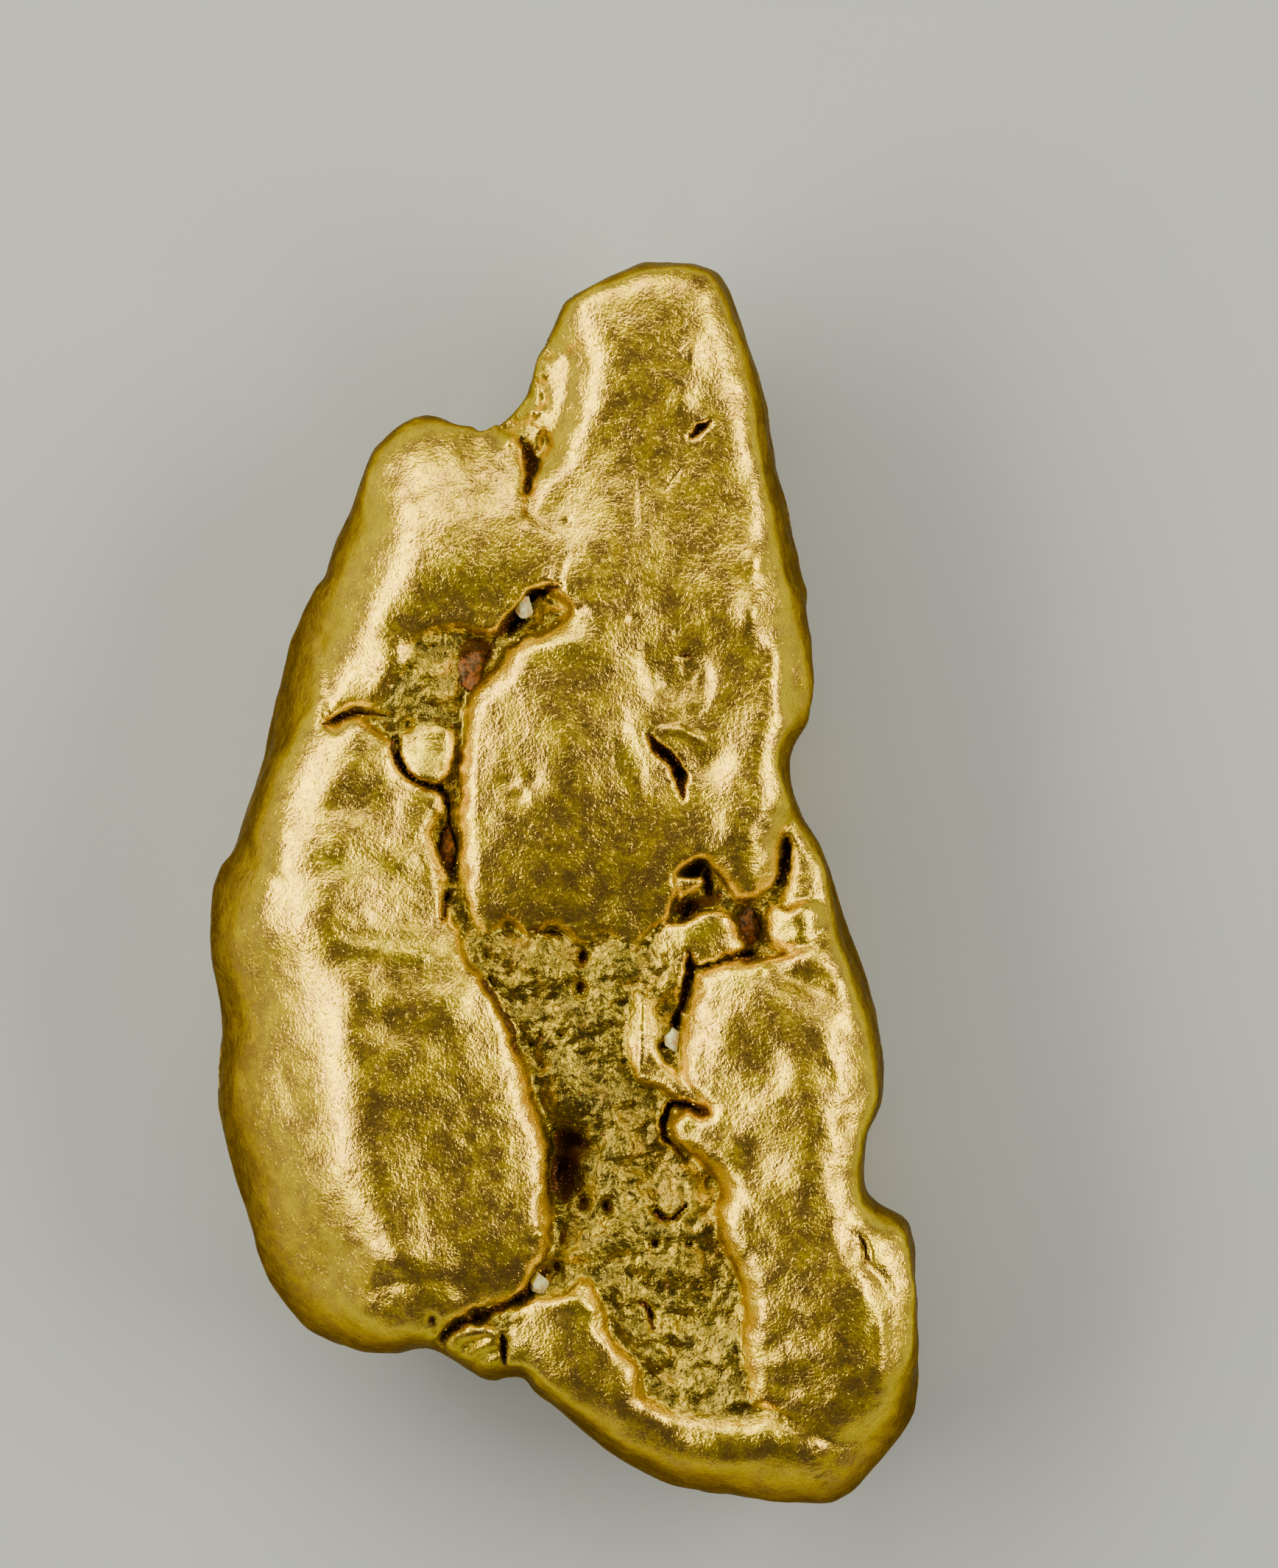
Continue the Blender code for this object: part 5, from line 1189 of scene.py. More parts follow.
@dataclass
class Nugget:
    """The gold: one closed surface over the CAD solid, fine on its front and sides.

    Lengths are in millimetres unless they say otherwise. A band gives where a mask starts and
    where it is full.

    Args:
        relief: Its heights.
        finish: Its material.
        voxel: Spacing of the front's points, in metres.
        plate_half: Half the thickness of the plate that it starts as, in metres.
        rim_height: Height of its widest section.
        rim_swell: Period and height of the swell of that section.
        tip_rise: How much higher that section is at the narrow end.
        tip_band: Where along the nugget it rises.
        roll_reach: How far a rim point's radius counts on the plan, as a square.
        side_power: How late the side turns steep below its shoulder.
        longest: Longest edge that is left on its sides.
        splits: How many times an edge may be halved.
        roll_passes: How often the roll is smoothed along the mesh's edges.
        level_passes: How often the heights are smoothed to find the hollows.
        hollow_band: Depths below its surroundings where gold counts as hollow.
        wall_band: Slopes where gold counts as a wall.
        flank_band: Shares of the roll where the front starts and the flank ends.
        inner_band: Shares of the roll where the front's own shares start.
        dents: Periods and depths of the dents of the sides and back.
        dent_band: Shares of the roll where the sides' dents fade out.
        broad_dent: Period and depth of the sides' broadest dents.
        broad_band: Shares of the roll where those fade out.
        back_share: Share of the back's triangles that is kept.
        rim: The outline.
    """

    relief: Relief
    finish: bpy.types.Material
    voxel: float = 0.000075
    plate_half: float = 0.00015
    rim_height: float = 3.6
    rim_swell: tuple[float, float] = (7.0, 0.45)
    tip_rise: float = 0.9
    tip_band: tuple[float, float] = (4.0, 16.0)
    roll_reach: float = 0.4
    side_power: float = 9.0
    longest: float = 0.22
    splits: int = 3
    roll_passes: int = 12
    level_passes: int = 40
    hollow_band: tuple[float, float] = (0.0, 0.03)
    wall_band: tuple[float, float] = (0.2, 0.5)
    flank_band: tuple[float, float] = (0.3, 0.8)
    inner_band: tuple[float, float] = (0.5, 0.9)
    dents: Rows = ((1.5, 0.06), (0.6, 0.025), (0.28, 0.008))
    dent_band: tuple[float, float] = (0.8, 1.0)
    broad_dent: tuple[float, float] = (3.2, 0.22)
    broad_band: tuple[float, float] = (0.5, 0.9)
    back_share: float = 0.62
    rim: Line = field(default_factory=lambda: Line(RIM, closed=True))

    def plate(self) -> bpy.types.Mesh:
        """Makes a thin plate of the nugget's plan.

        Returns:
            The plate, meshed evenly.
        """
        curve = bpy.data.curves.new("plan", "CURVE")
        curve.dimensions = "2D"
        curve.fill_mode = "BOTH"
        curve.extrude = self.plate_half
        spline = curve.splines.new("POLY")
        outline = self.rim.samples()[:, :2] * MM
        level = np.zeros(len(outline))
        spline.points.add(len(outline) - 1)
        spline.points.foreach_set("co", np.column_stack([outline, level, level + 1]).ravel())
        spline.use_cyclic_u = True
        solid = linked("plate", mesh_of(linked("plan", curve), "plate"))
        remesh = solid.modifiers.new("even points", "REMESH")
        remesh.mode = "VOXEL"
        remesh.voxel_size = self.voxel
        return mesh_of(solid, "nugget_gold")

    def radius(self, plan: np.ndarray) -> np.ndarray:
        """Takes the roll's radius from the rim points near each plan point.

        Args:
            plan: Points, one a row.

        Returns:
            The radius at each point.
        """
        rim = np.asarray(RIM)
        squares = ((plan[:, None, :] - rim[None, :, :2]) ** 2).sum(axis=2)
        weights = 1 / (squares + self.roll_reach) ** 2
        return np.maximum((weights @ rim[:, 2]) / weights.sum(axis=1), LEAST_RADIUS)

    def roll(self, plan: np.ndarray) -> tuple[np.ndarray, np.ndarray, np.ndarray]:
        """Moves plan points out towards the rim.

        Args:
            plan: The plate's points.

        Returns:
            Where they go, how far round the rim's roll each one is from 0 to 1, and the roll's radius.
        """
        away, values = self.rim.measure(plan)
        away = np.maximum(away, 0)
        radius = self.radius(plan)
        turn = np.clip(away / radius, 0, 1) * math.pi / 2
        moved = np.where(away < radius, radius * (1 - np.cos(turn)), away)
        share = (moved / np.maximum(away, LEAST_AWAY))[:, None]
        return values[:, :2] + (plan - values[:, :2]) * share, np.sin(turn), radius

    def reach(self, full: np.ndarray, rolled: np.ndarray, radius: np.ndarray) -> np.ndarray:
        """How far a surface stands from the rim: a round shoulder, then a steep side.

        Args:
            full: How far it stands inside the roll, below zero on the back.
            rolled: How far round the roll each point is.
            radius: The roll's radius.

        Returns:
            How far each point stands.
        """
        high = np.abs(full)
        shoulder = np.minimum(radius, high)
        across = np.sqrt(np.clip(1 - rolled**2, 0, 1))
        drop = shoulder * (1 - rolled) + (high - shoulder) * across**self.side_power
        return np.sign(full) * (high - drop)

    def split_sides(self, mesh: bpy.types.Mesh) -> None:
        """Halves the plate's edges that the roll will stretch, until none is long.

        Args:
            mesh: The plate.
        """
        for _ in range(self.splits):
            points = read(mesh.vertices, "co", 3, float) / MM
            plan, rolled, radius = self.roll(points[:, :2])
            placed = self.reach(np.full(len(plan), self.rim_height), rolled, radius)
            placed = np.column_stack([plan, placed * np.sign(points[:, 2])])
            first, second = read(mesh.edges, "vertices", 2, int).T
            flat = np.abs(points[first, 2] - points[second, 2]) < LEVEL
            stretched = np.linalg.norm(placed[first] - placed[second], axis=1) > self.longest
            shape = bmesh.new()
            shape.from_mesh(mesh)
            shape.edges.ensure_lookup_table()
            chosen = [shape.edges[index] for index in np.flatnonzero(flat & stretched)]
            bmesh.ops.subdivide_edges(shape, edges=chosen, cuts=1)
            shape.to_mesh(mesh)
            shape.free()

    def smoothed(self, values: np.ndarray, ends: np.ndarray, passes: int) -> np.ndarray:
        """Averages values with their neighbours, leaving those at zero alone.

        Args:
            values: One for each point.
            ends: The mesh's edges.
            passes: How often.

        Returns:
            The new values.
        """
        count = len(values)
        first, second = ends.T
        near = np.bincount(first, minlength=count) + np.bincount(second, minlength=count)
        for _ in range(passes):
            total = np.bincount(first, values[second], count) + np.bincount(second, values[first], count)
            values = np.where(values > 0, (values + total / near) / 2, 0)
        return values

    def shape(self, mesh: bpy.types.Mesh) -> None:
        """Moves the plate's points to the front, the back and the rim, and gives them their shares.

        Args:
            mesh: The split plate.
        """
        points = read(mesh.vertices, "co", 3, float) / MM
        ends = read(mesh.edges, "vertices", 2, int)
        plan, rolled, radius = self.roll(points[:, :2])
        rolled = self.smoothed(rolled, ends, self.roll_passes)
        period, high = self.rim_swell
        rim = self.rim_height + high * swell(plan, period, Seed.RIM)
        rim = rim + self.tip_rise * smooth_step(plan[:, 1], *self.tip_band)
        is_front = points[:, 2] > 0
        top, shares = self.relief.front(plan)
        full = np.where(is_front, top, self.relief.back(plan)) - rim
        height = rim + self.reach(full, rolled, radius) + points[:, 2] * (rolled == 0)
        place(mesh, np.column_stack([plan, height]) * MM)
        self.roughen_sides(mesh, rolled, is_front)
        steep = 1 - read(mesh.vertex_normals, "vector", 3, float)[:, 2]
        # The hollow share darkens the gold where it lies below its surroundings.
        hollow = smooth_step(self.smoothed(height, ends, self.level_passes) - height, *self.hollow_band)
        shares["hollow"] = hollow
        # The wall share paints the lobes' steep walls a brighter yellow in the finish: painted reflection.
        shares["wall"] = smooth_step(steep, *self.wall_band) * (1 - shares["stain"])
        inner = is_front * smooth_step(rolled, *self.inner_band)
        shares = {name: share * inner for name, share in shares.items()}
        # The flank share darkens the steep sides in the finish: painted shade.
        shares["flank"] = 1 - smooth_step(rolled, *self.flank_band)
        for name, share in shares.items():
            mesh.attributes.new(name, "FLOAT", "POINT").data.foreach_set("value", share)

    def roughen_sides(self, mesh: bpy.types.Mesh, rolled: np.ndarray, is_front: np.ndarray) -> None:
        """Dents the sides and the back, and rests the worn flat on the ground.

        Args:
            mesh: The nugget's mesh.
            rolled: How far round the rim's roll each point is.
            is_front: Whether each point is on the front.
        """
        points = read(mesh.vertices, "co", 3, float) / MM
        fine = np.where(is_front, 1 - smooth_step(rolled, *self.dent_band), 1.0)
        period, depth = self.broad_dent
        broad = (1 - smooth_step(rolled, *self.broad_band)) * depth
        dented = points.copy()
        for axis, plane in enumerate(((1, 2), (2, 0), (0, 1))):
            step = AXIS_STEP * axis
            dented[:, axis] += fine * swells(points[:, plane], self.dents, Seed.DENT + step)
            dented[:, axis] += broad * swell(points[:, plane], period, Seed.BROAD + step)
        dented[:, 2] = np.maximum(dented[:, 2], 0)
        place(mesh, dented * MM)

    def build(self) -> bpy.types.Object:
        """Makes the piece.

        Returns:
            The nugget, riding on the body and standing for its CAD solid.
        """
        mesh = self.plate()
        self.split_sides(mesh)
        is_back = read(mesh.vertices, "co", 3, float)[:, 2] < 0
        self.shape(mesh)
        piece = linked("nugget_gold", mesh)
        backs = piece.vertex_groups.new(name="back")
        backs.add(np.flatnonzero(is_back).tolist(), 1.0, "REPLACE")
        thin = piece.modifiers.new("thin back", "DECIMATE")
        thin.vertex_group = "back"
        thin.ratio = self.back_share
        piece = linked("nugget_gold", mesh_of(piece, "nugget_gold"))
        piece.vertex_groups.clear()
        smooth(piece.data, self.finish)
        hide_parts("gold_nugget")
        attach(piece, BODY)
        return piece


# --- Finishes ----------------------------------------------------------------------------------


@dataclass(frozen=True)
class GoldFinish:
    """Satin native gold: speckled, dented and scratched, rough and green in its floor, rusty in its clefts.

    Args:
        bright: The gold between its mottles.
        deep: The gold of its mottles.
        rubbed_and_highlight: Worn gold, paler and brighter: part wear, part painted highlight.
        floor: The rough floor.
        tarnish: The floor's dark colour: in its tarnished patches, towards the edges of its grains, and
            round the rust.
        wall: A bright yellow on the lobes' steep walls: painted reflection of the gold round them.
        patina: A dull film on flecks and patches; the hollows are darkened with it too.
        rust: Rust in the clefts.
        ochre: A film of ochre on the floor.
        side: The flanks' darker colour: painted shade on the steep sides.
        edge: What the gold mirrors at a glancing angle.
        roughness: Its usual roughness.
        mottles: Its mottles.
        flecks: Its dull flecks.
        dulls: Its dull patches.
        tarnished: The floor's cleaner patches.
        ochres: The floor's patches of ochre.
        shades: The floor's darker parts.
        dents: Its finest dents.
        grains: Grains of the floor in a metre.
        speckles: Cells of its speckle in a metre.
    """

    bright: Colour = (0.98, 0.66, 0.03, 1)
    deep: Colour = (0.72, 0.43, 0.09, 1)
    rubbed_and_highlight: Colour = (1.0, 0.75, 0.03, 1)
    floor: Colour = (0.46, 0.31, 0.04, 1)
    tarnish: Colour = (0.12, 0.09, 0.03, 1)
    wall: Colour = (0.92, 0.7, 0.06, 1)
    patina: Colour = (0.43, 0.26, 0.06, 1)
    rust: Colour = (0.055, 0.018, 0.006, 1)
    ochre: Colour = (0.3, 0.15, 0.03, 1)
    side: Colour = (0.3, 0.19, 0.045, 1)
    edge: Colour = (0.3, 0.24, 0.05, 1)
    roughness: float = 0.285
    mottles: Patches = Patches(2200, 3, 0.35, 0.65)
    flecks: Patches = Patches(9000, 2, 0.45, 0.68)
    dulls: Patches = Patches(1500, 6, 0.38, 0.78)
    tarnished: Patches = Patches(2400, 6, 0.38, 0.6)
    ochres: Patches = Patches(1100, 4, 0.52, 0.68)
    shades: Patches = Patches(450, 3, 0.5, 0.62)
    dents: Patches = Patches(7500, 2, 0.5, 0.72)
    grains: float = 5500
    speckles: float = 14000

    def ground(self, graph: Graph, gaps: Value) -> Value:
        """Colours the rough floor.

        Args:
            graph: The material's graph.
            gaps: How far each place is from the middle of its grain.

        Returns:
            The colour.
        """
        colour = graph.blend(graph.patches(self.tarnished), self.tarnish, self.floor)
        colour = graph.blend(graph.patches(self.ochres) * 0.7, colour, self.ochre)
        # Darker towards the edges of the floor's grains.
        colour = graph.blend(gaps.above(0.4, 0.75) * 0.75, colour, self.tarnish)
        return graph.blend(graph.patches(self.shades) * 0.5, colour, self.tarnish)

    def build(self) -> bpy.types.Material:
        """Makes the material from the shares that the nugget's points carry.

        Returns:
            The material.
        """
        graph = Graph("native_gold")
        names = ("rough", "stain", "rubbed_and_highlight", "flank", "hollow", "wall")
        rough, stain, rubbed_and_highlight, flank, hollow, wall = (graph.attribute(name) for name in names)
        mottle = graph.patches(self.mottles)
        speckle = graph.noise(self.speckles, 2)
        gaps = graph.cells(self.grains)
        rusty = (stain + (speckle - NOISE_MIDDLE) * 0.5).above(0.48, 0.62)
        # Each layer from the gold up: how much of it there is, and its colour.
        layers = (
            (graph.patches(self.dulls) * 0.8, self.patina),
            (graph.patches(self.flecks) * 0.45, self.patina),
            # Hollows: the gold is darkened where it lies below its surroundings.
            (hollow * 0.45, self.patina),
            # Worn patches, paler and brighter: part wear, part painted highlight.
            (rubbed_and_highlight * 0.7, self.rubbed_and_highlight),
            (rough * 0.9, self.ground(graph, gaps)),
            # Walls: painted reflection, a bright yellow on the steep walls.
            (wall * 0.85, self.wall),
            # Flanks: painted shade, a darker gold on the steep sides.
            (flank * (1.0 - 0.2 * mottle), self.side),
            (stain * 0.85, self.tarnish),
            (rusty, self.rust),
        )
        colour = graph.blend(mottle, self.deep, self.bright)
        for share, layer in layers:
            colour = graph.blend(share, colour, layer)
        shine = self.roughness + (speckle - NOISE_MIDDLE) * 0.25
        shine = shine + (mottle - NOISE_MIDDLE) * 0.06 + rough * 0.08
        # Each bump from the broadest up: its height, and its rise in metres.
        normal = graph.bump(
            (graph.noise(2600, 2), 0.000007),
            (graph.noise(900, 2, (14, 1, 14), 38), 0.000002),
            (graph.patches(self.dents), 0.000007),
            (speckle, 0.000016),
            (graph.noise(5500, 3) * (rough + flank * 0.5), 0.00005),
            ((1.0 - gaps) * rough, 0.000025),
        )
        graph.finish(Specular_Tint=self.edge)
        return graph.finish(Base_Color=colour, Roughness=shine, Metallic=1.0 - rusty, Normal=normal)


@dataclass(frozen=True)
class QuartzFinish:
    """Milky vein quartz with a pink rust stain.

    Args:
        milk: The clean quartz.
        stain: The stained quartz.
        clouds: Where it is stained.
    """

    milk: Colour = (0.72, 0.69, 0.66, 1)
    stain: Colour = (0.55, 0.30, 0.22, 1)
    clouds: Patches = Patches(5000, 3, 0.45, 0.7)

    def build(self) -> bpy.types.Material:
        """Makes the material.

        Returns:
            The material.
        """
        graph = Graph("milky_quartz")
        cloud = graph.patches(self.clouds)
        normal = graph.bump((graph.noise(12000, 2), 0.00001))
        colour = graph.blend(cloud, self.milk, self.stain)
        graph.finish(Transmission_Weight=0.25, IOR=1.54)
        return graph.finish(Base_Color=colour, Roughness=0.2 + cloud * 0.3, Normal=normal)


@dataclass(frozen=True)
class VeinStoneFinish:
    """Rusty, dark vein stone.

    Args:
        dark: The stone.
        rust: Its rust.
        rusted: Where it is rusty.
    """

    dark: Colour = (0.05, 0.014, 0.006, 1)
    rust: Colour = (0.26, 0.07, 0.025, 1)
    rusted: Patches = Patches(6000, 4, 0.4, 0.65)

    def build(self) -> bpy.types.Material:
        """Makes the material.

        Returns:
            The material.
        """
        graph = Graph("rusty_vein_stone")
        patches = graph.patches(self.rusted)
        normal = graph.bump((graph.noise(9000, 4), 0.00004))
        colour = graph.blend(patches, self.dark, self.rust)
        return graph.finish(Base_Color=colour, Roughness=0.35 + patches * 0.4, Normal=normal)


@dataclass(frozen=True)
class FloorFinish:
    """A pale, plain paper sweep.

    Args:
        paper: The paper.
        fibre: Its fibres.
    """

    paper: Colour = (0.34, 0.35, 0.66, 1)
    fibre: Colour = (0.3, 0.3, 0.3, 1)

    def build(self) -> bpy.types.Material:
        """Makes the material.

        Returns:
            The material.
        """
        graph = Graph("pale_floor")
        colour = graph.blend(graph.noise(900, 3) * 0.1, self.paper, self.fibre)
        return graph.finish(Base_Color=colour, Roughness=0.8)


# --- What is caught in the clefts ---------------------------------------------------------------


class Caught(Enum):
    """Kinds of grain, each with a material slot's name."""

    QUARTZ = "quartz"
    VEIN_STONE = "vein_stone"


@dataclass(frozen=True)
class Break:
    """How a kind of rock breaks.

    Args:
        facets: How many facets a chip of it has.
        nearest: How near its middle a facet may be, as a share of its radius.
        crumble: How uneven its surface is.
    """

    facets: int
    nearest: float
    crumble: float


BREAKS = {Caught.QUARTZ: Break(13, 0.5, 0.045), Caught.VEIN_STONE: Break(26, 0.72, 0.06)}


@dataclass(frozen=True)
class Grain:
    """A chip of rock that stands for one of the CAD grains.

    Args:
        node: The CAD node that it stands for.
        kind: What it is.
        seed: Picks its facets.
        furthest: How far from its middle a facet may be, as a share of its radius.
        crumbs: Periods and heights of its uneven surface.
        subdivisions: How finely it is meshed.
    """

    node: str
    kind: Caught
    seed: int
    furthest: float = 0.95
    crumbs: Rows = ((0.5, 1), (0.2, 0.5))
    subdivisions: int = 5

    def build(self, finish: bpy.types.Material) -> bpy.types.Object:
        """Makes the piece inside its node's box.

        Args:
            finish: Its material.

        Returns:
            The grain, riding on the body.
        """
        pick = np.random.default_rng(self.seed)
        low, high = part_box(self.node)
        shape = bmesh.new()
        bmesh.ops.create_icosphere(shape, subdivisions=self.subdivisions, radius=1)
        mesh = mesh_from(shape, self.node.replace("_grain", "") + "_chip")
        points = read(mesh.vertices, "co", 3, float)
        rock = BREAKS[self.kind]
        facets = pick.normal(size=(rock.facets, 3))
        facets /= np.linalg.norm(facets, axis=1)[:, None]
        for facet, reach in zip(facets, pick.uniform(rock.nearest, self.furthest, len(facets))):
            points -= facet * np.maximum(points @ facet - reach, 0)[:, None]
        for plane in ((0, 1), (1, 2), (2, 0)):
            points *= 1 + rock.crumble * swells(points[:, plane], self.crumbs, self.seed)[:, None]
        points = (points - points.min(axis=0)) / np.ptp(points, axis=0)
        place(mesh, np.array(low) + points * np.array(high - low))
        smooth(mesh, finish)
        piece = linked(mesh.name, mesh)
        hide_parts(self.node)
        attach(piece, BODY)
        return piece


GRAINS = [
    Grain("quartz_grain_shoulder", Caught.QUARTZ, 3),
    Grain("quartz_grain_valley", Caught.QUARTZ, 5),
    Grain("quartz_grain_lower", Caught.QUARTZ, 8),
    Grain("vein_stone_pocket", Caught.VEIN_STONE, 12),
    Grain("vein_stone_cleft", Caught.VEIN_STONE, 15),
    Grain("vein_stone_crevice", Caught.VEIN_STONE, 19),
]


@dataclass(frozen=True)
class Grit:
    """Crumbs strewn over the nugget where one of its shares is high.

    Args:
        name: The piece's name.
        share: The nugget's attribute that says where they lie.
        slot: A material slot; not used.
        density: Crumbs on a square metre where the share is full.
        smallest: Smallest radius, in metres.
        largest: Largest radius, in metres.
        seed: Picks their places.
        fade: The power of the share that they thin out with.
        knock: Period in millimetres, and height, of their uneven surface.
        knock_share: Share of the smallest radius that it moves them by.
    """

    name: str
    share: str
    slot: str
    density: float
    smallest: float
    largest: float
    seed: int
    fade: float = 3.0
    knock: Rows = ((0.05, 1),)
    knock_share: float = 0.25

    def tree(self, finish: bpy.types.Material) -> bpy.types.NodeTree:
        """Makes the Geometry Nodes tree that strews and shapes them.

        Args:
            finish: Their material.

        Returns:
            The tree.
        """
        tree = bpy.data.node_groups.new(self.name, "GeometryNodeTree")
        for label, kind in (("Geometry", "NodeSocketGeometry"), ("Density", "NodeSocketFloat")):
            tree.interface.new_socket(label, in_out="INPUT", socket_type=kind)
        tree.interface.new_socket("Geometry", in_out="OUTPUT", socket_type="NodeSocketGeometry")

        def add(kind: str, settings: dict, inputs: dict, output: object = 0) -> bpy.types.NodeSocket | None:
            """Adds a node, sets it up and joins it.

            Args:
                kind: The node's type.
                settings: Its properties, set before its sockets.
                inputs: Values or links, by the socket's name or number.
                output: The name or number of the socket to return.

            Returns:
                The chosen output, or None where the node has none.
            """
            node = tree.nodes.new(kind)
            for name, setting in settings.items():
                setattr(node, name, setting)
            for name, value in inputs.items():
                if isinstance(value, bpy.types.NodeSocket):
                    tree.links.new(value, node.inputs[name])
                else:
                    node.inputs[name].default_value = value
            return node.outputs[output] if node.outputs else None

        gold = add("NodeGroupInput", {}, {}, "Geometry")
        density = gold.node.outputs["Density"]
        share = add("GeometryNodeInputNamedAttribute", {}, {"Name": self.share}, "Attribute")
        faded = add("ShaderNodeMath", {"operation": "POWER"}, {0: share, 1: self.fade})
        thick = add("ShaderNodeMath", {"operation": "MULTIPLY"}, {0: faded, 1: density})
        strewn = {"Mesh": gold, "Density": thick, "Seed": self.seed}
        places = add("GeometryNodeDistributePointsOnFaces", {}, strewn, "Points")
        vector = {"data_type": "FLOAT_VECTOR"}
        turn = add("FunctionNodeRandomValue", vector, {1: (math.tau,) * 3})
        size = add("FunctionNodeRandomValue", vector, {0: (self.smallest,) * 3, 1: (self.largest,) * 3})
        crumb = add("GeometryNodeMeshIcoSphere", {}, {"Radius": 1.0, "Subdivisions": 2}, "Mesh")
        copies = {"Points": places, "Instance": crumb, "Rotation": turn, "Scale": size}
        crumbs = add("GeometryNodeInstanceOnPoints", {}, copies, "Instances")
        real = add("GeometryNodeRealizeInstances", {}, {"Geometry": crumbs}, "Geometry")
        painted = add("GeometryNodeSetMaterial", {}, {"Geometry": real, "Material": finish}, "Geometry")
        add("NodeGroupOutput", {}, {"Geometry": painted})
        return tree

    def build(self, nugget: bpy.types.Object, finish: bpy.types.Material) -> bpy.types.Object:
        """Strews the crumbs.

        Args:
            nugget: The gold that they lie on.
            finish: Their material.

        Returns:
            One plain mesh piece, riding on the body.
        """
        strewer = linked("strewer", nugget.data.copy())
        nodes = strewer.modifiers.new("strew", "NODES")
        nodes.node_group = self.tree(finish)
        for item in nodes.node_group.interface.items_tree:
            if item.item_type == "SOCKET" and item.in_out == "INPUT" and item.name == "Density":
                nodes[item.identifier] = self.density
        mesh = mesh_of(strewer, self.name)
        points = read(mesh.vertices, "co", 3, float)
        knock = swells(points[:, :2] / MM, self.knock, Seed.KNOCK_X)
        knock = knock + swells(points[:, 1:] / MM, self.knock, Seed.KNOCK_Y)
        place(mesh, points + knock[:, None] * self.smallest * self.knock_share)
        piece = linked(self.name, mesh)
        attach(piece, BODY)
        return piece


GOLD_CRUMBS = Grit("gold_crumbs", "rough", "gold", 1.0e7, 0.00001, 0.00005, 7)
RUST_GRIT = Grit("rust_grit", "stain", "vein_stone", 6.0e7, 0.000015, 0.00005, 9)


# --- The studio --------------------------------------------------------------------------------


@dataclass(frozen=True)
class SoftBox:
    """A soft light aimed at the nugget.

    Args:
        name: Its name.
        lean: How far it stands from straight above, in degrees.
        heading: Where it stands on the plan, from +X towards +Y, in degrees.
        wide: Its level side, in metres.
        tall: Its other side, in metres.
        radiance: Its brightness.
        away: Its distance, in metres.
        colour: Its colour.
    """

    name: str
    lean: float
    heading: float
    wide: float
    tall: float
    radiance: float
    away: float = 0.26
    colour: tuple[float, float, float] = (1.0, 0.99, 0.42)

    def build(self, target: Vector) -> bpy.types.Object:
        """Makes the light.

        Args:
            target: Where it is aimed.

        Returns:
            The light.
        """
        light = bpy.data.lights.new(self.name, "AREA")
        light.shape = "RECTANGLE"
        light.size = self.wide
        light.size_y = self.tall
        light.energy = self.radiance * math.pi * self.wide * self.tall
        light.color = self.colour
        lean = math.radians(self.lean)
        heading = math.radians(self.heading)
        level = math.sin(lean)
        back = Vector((level * math.cos(heading), level * math.sin(heading), math.cos(lean)))
        lamp = linked(self.name, light)
        lamp.location = target + back * self.away
        lamp.rotation_euler = back.to_track_quat("Z", "Y").to_euler()
        return lamp


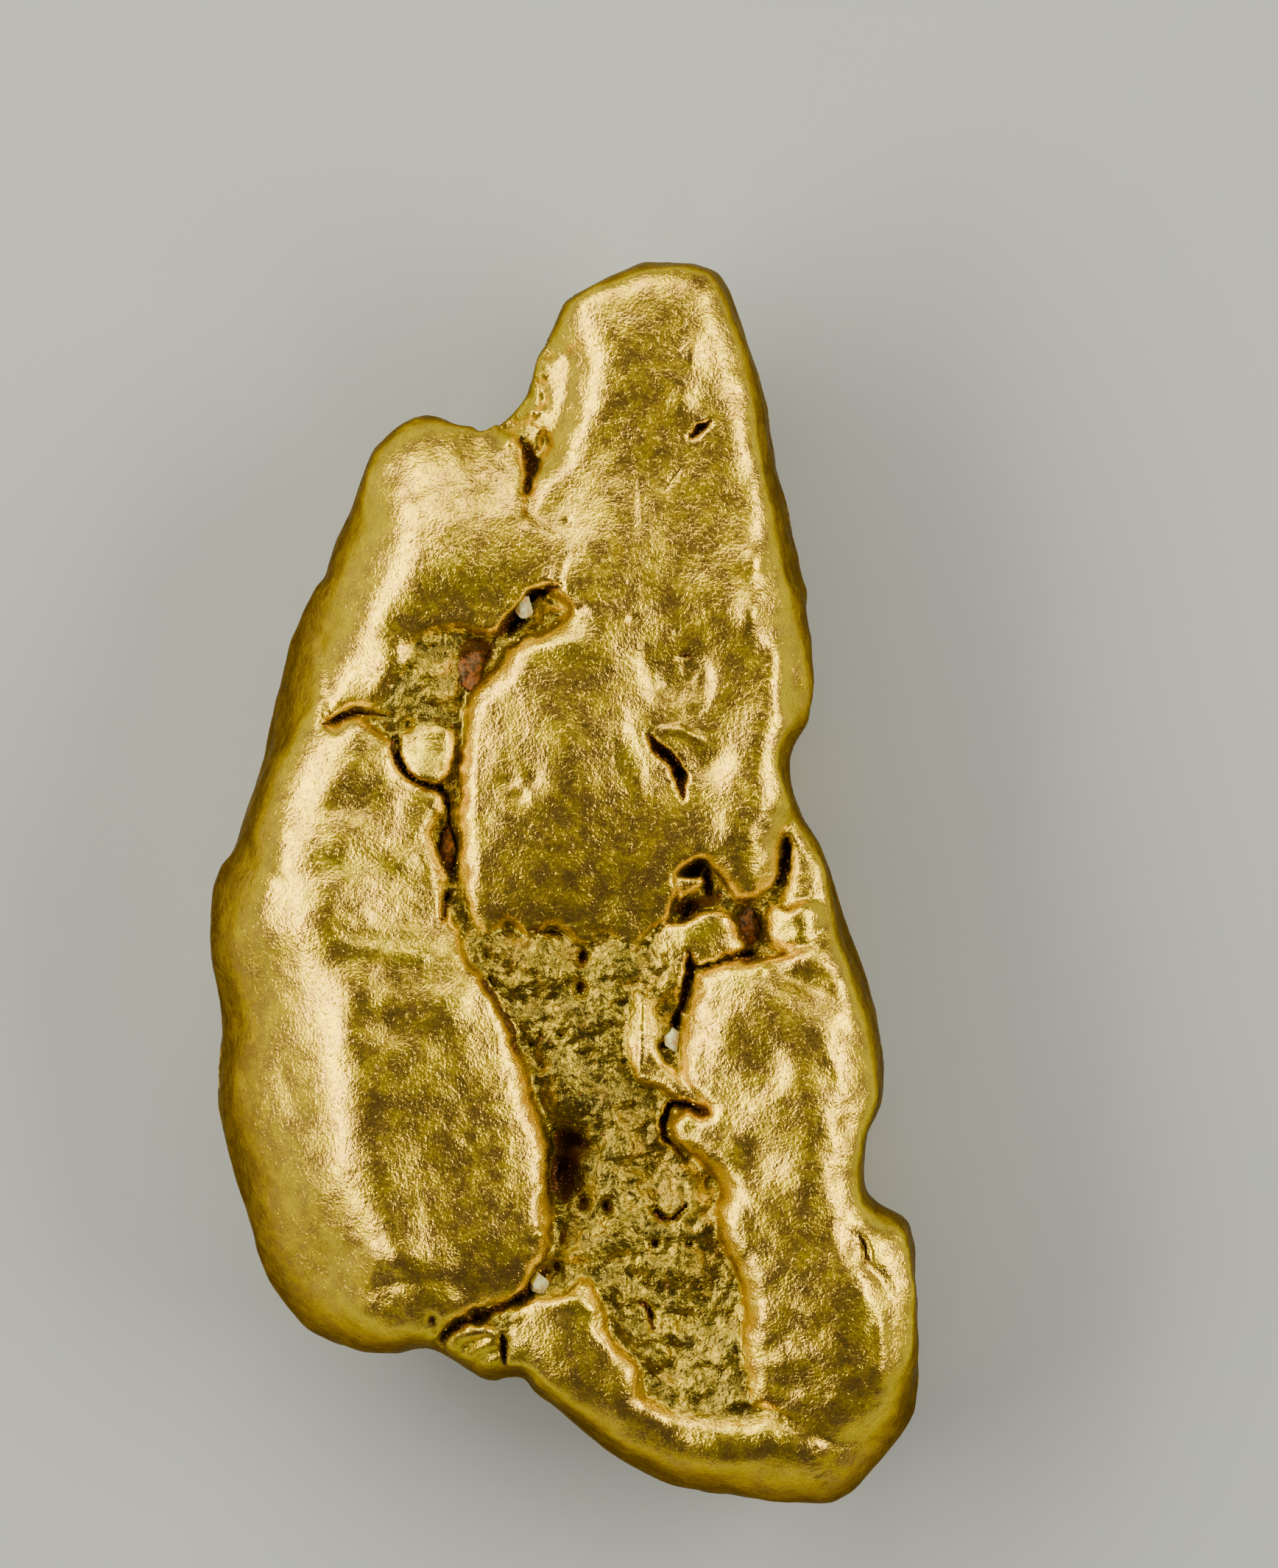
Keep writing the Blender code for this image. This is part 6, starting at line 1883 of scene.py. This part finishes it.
@dataclass(frozen=True)
class Studio:
    """The pale floor, the soft lights and the camera that looks down. In metres.

    Args:
        middle: The middle of the view on the plan.
        tall: Height of the view there.
        away: The camera's distance.
        level: The height that it is measured from.
        sensor: The camera's sensor, in millimetres.
        clip: The nearest and furthest that it sees.
        sweep: Half the floor's side.
        aim: What the lights are aimed at.
        surround: Colour of the dim surround.
        dim: Its brightness.
        boxes: The lights.
    """

    middle: tuple[float, float] = (0.00182, 0.00238)
    tall: float = 0.03797
    away: float = 0.25
    level: float = 0.0036
    sensor: float = 36
    clip: tuple[float, float] = (0.001, 5)
    sweep: float = 0.6
    aim: tuple[float, float, float] = (0, 0, 0.005)
    surround: Colour = (0.9, 0.86, 1.0, 1)
    dim: float = 0.12
    boxes: Sequence[SoftBox] = (
        SoftBox("left_light", 51, 174, 0.32, 0.11, 10.8),
        SoftBox("right_light", 51, 6, 0.2, 0.1, 12.0),
        SoftBox("top_light", 50, 105, 0.24, 0.1, 7.0),
    )

    def floor(self) -> None:
        """Lays the floor, which isn't part of the nugget."""
        shape = bmesh.new()
        bmesh.ops.create_grid(shape, x_segments=2, y_segments=2, size=self.sweep)
        mesh = mesh_from(shape, "floor")
        mesh.materials.append(FloorFinish().build())
        linked("floor", mesh)

    def camera(self) -> None:
        """Sets the camera up, straight above the nugget."""
        lens = bpy.data.cameras.new("camera")
        lens.sensor_width = self.sensor
        lens.lens = self.sensor * self.away / self.tall
        lens.clip_start, lens.clip_end = self.clip
        camera = linked("camera", lens)
        camera.location = (*self.middle, self.level + self.away)
        bpy.context.scene.camera = camera

    def world(self) -> None:
        """Sets a dim, even surround."""
        world = bpy.data.worlds.new("studio")
        world.use_nodes = True
        background = world.node_tree.nodes["Background"]
        background.inputs["Color"].default_value = self.surround
        background.inputs["Strength"].default_value = self.dim
        bpy.context.scene.world = world

    def build(self) -> None:
        """Sets the studio up."""
        self.floor()
        self.world()
        for box in self.boxes:
            box.build(Vector(self.aim))
        self.camera()


def main() -> None:
    """Loads the CAD frame and builds every piece round it."""
    logging.basicConfig(level=logging.INFO, format="%(name)s: %(message)s")
    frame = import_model()
    log.info("the frame holds %d nodes", len(frame["nodes"]))
    gold = GoldFinish().build()
    rock = {Caught.QUARTZ: QuartzFinish().build(), Caught.VEIN_STONE: VeinStoneFinish().build()}
    nugget = Nugget(Relief(), gold).build()
    pieces = [nugget]
    pieces += [grain.build(rock[grain.kind]) for grain in GRAINS]
    pieces.append(GOLD_CRUMBS.build(nugget, gold))
    pieces.append(RUST_GRIT.build(nugget, rock[Caught.VEIN_STONE]))
    for piece in pieces:
        log.info("%s: %d faces", piece.name, len(piece.data.polygons))
    Studio().build()


if __name__ == "__main__":
    main()
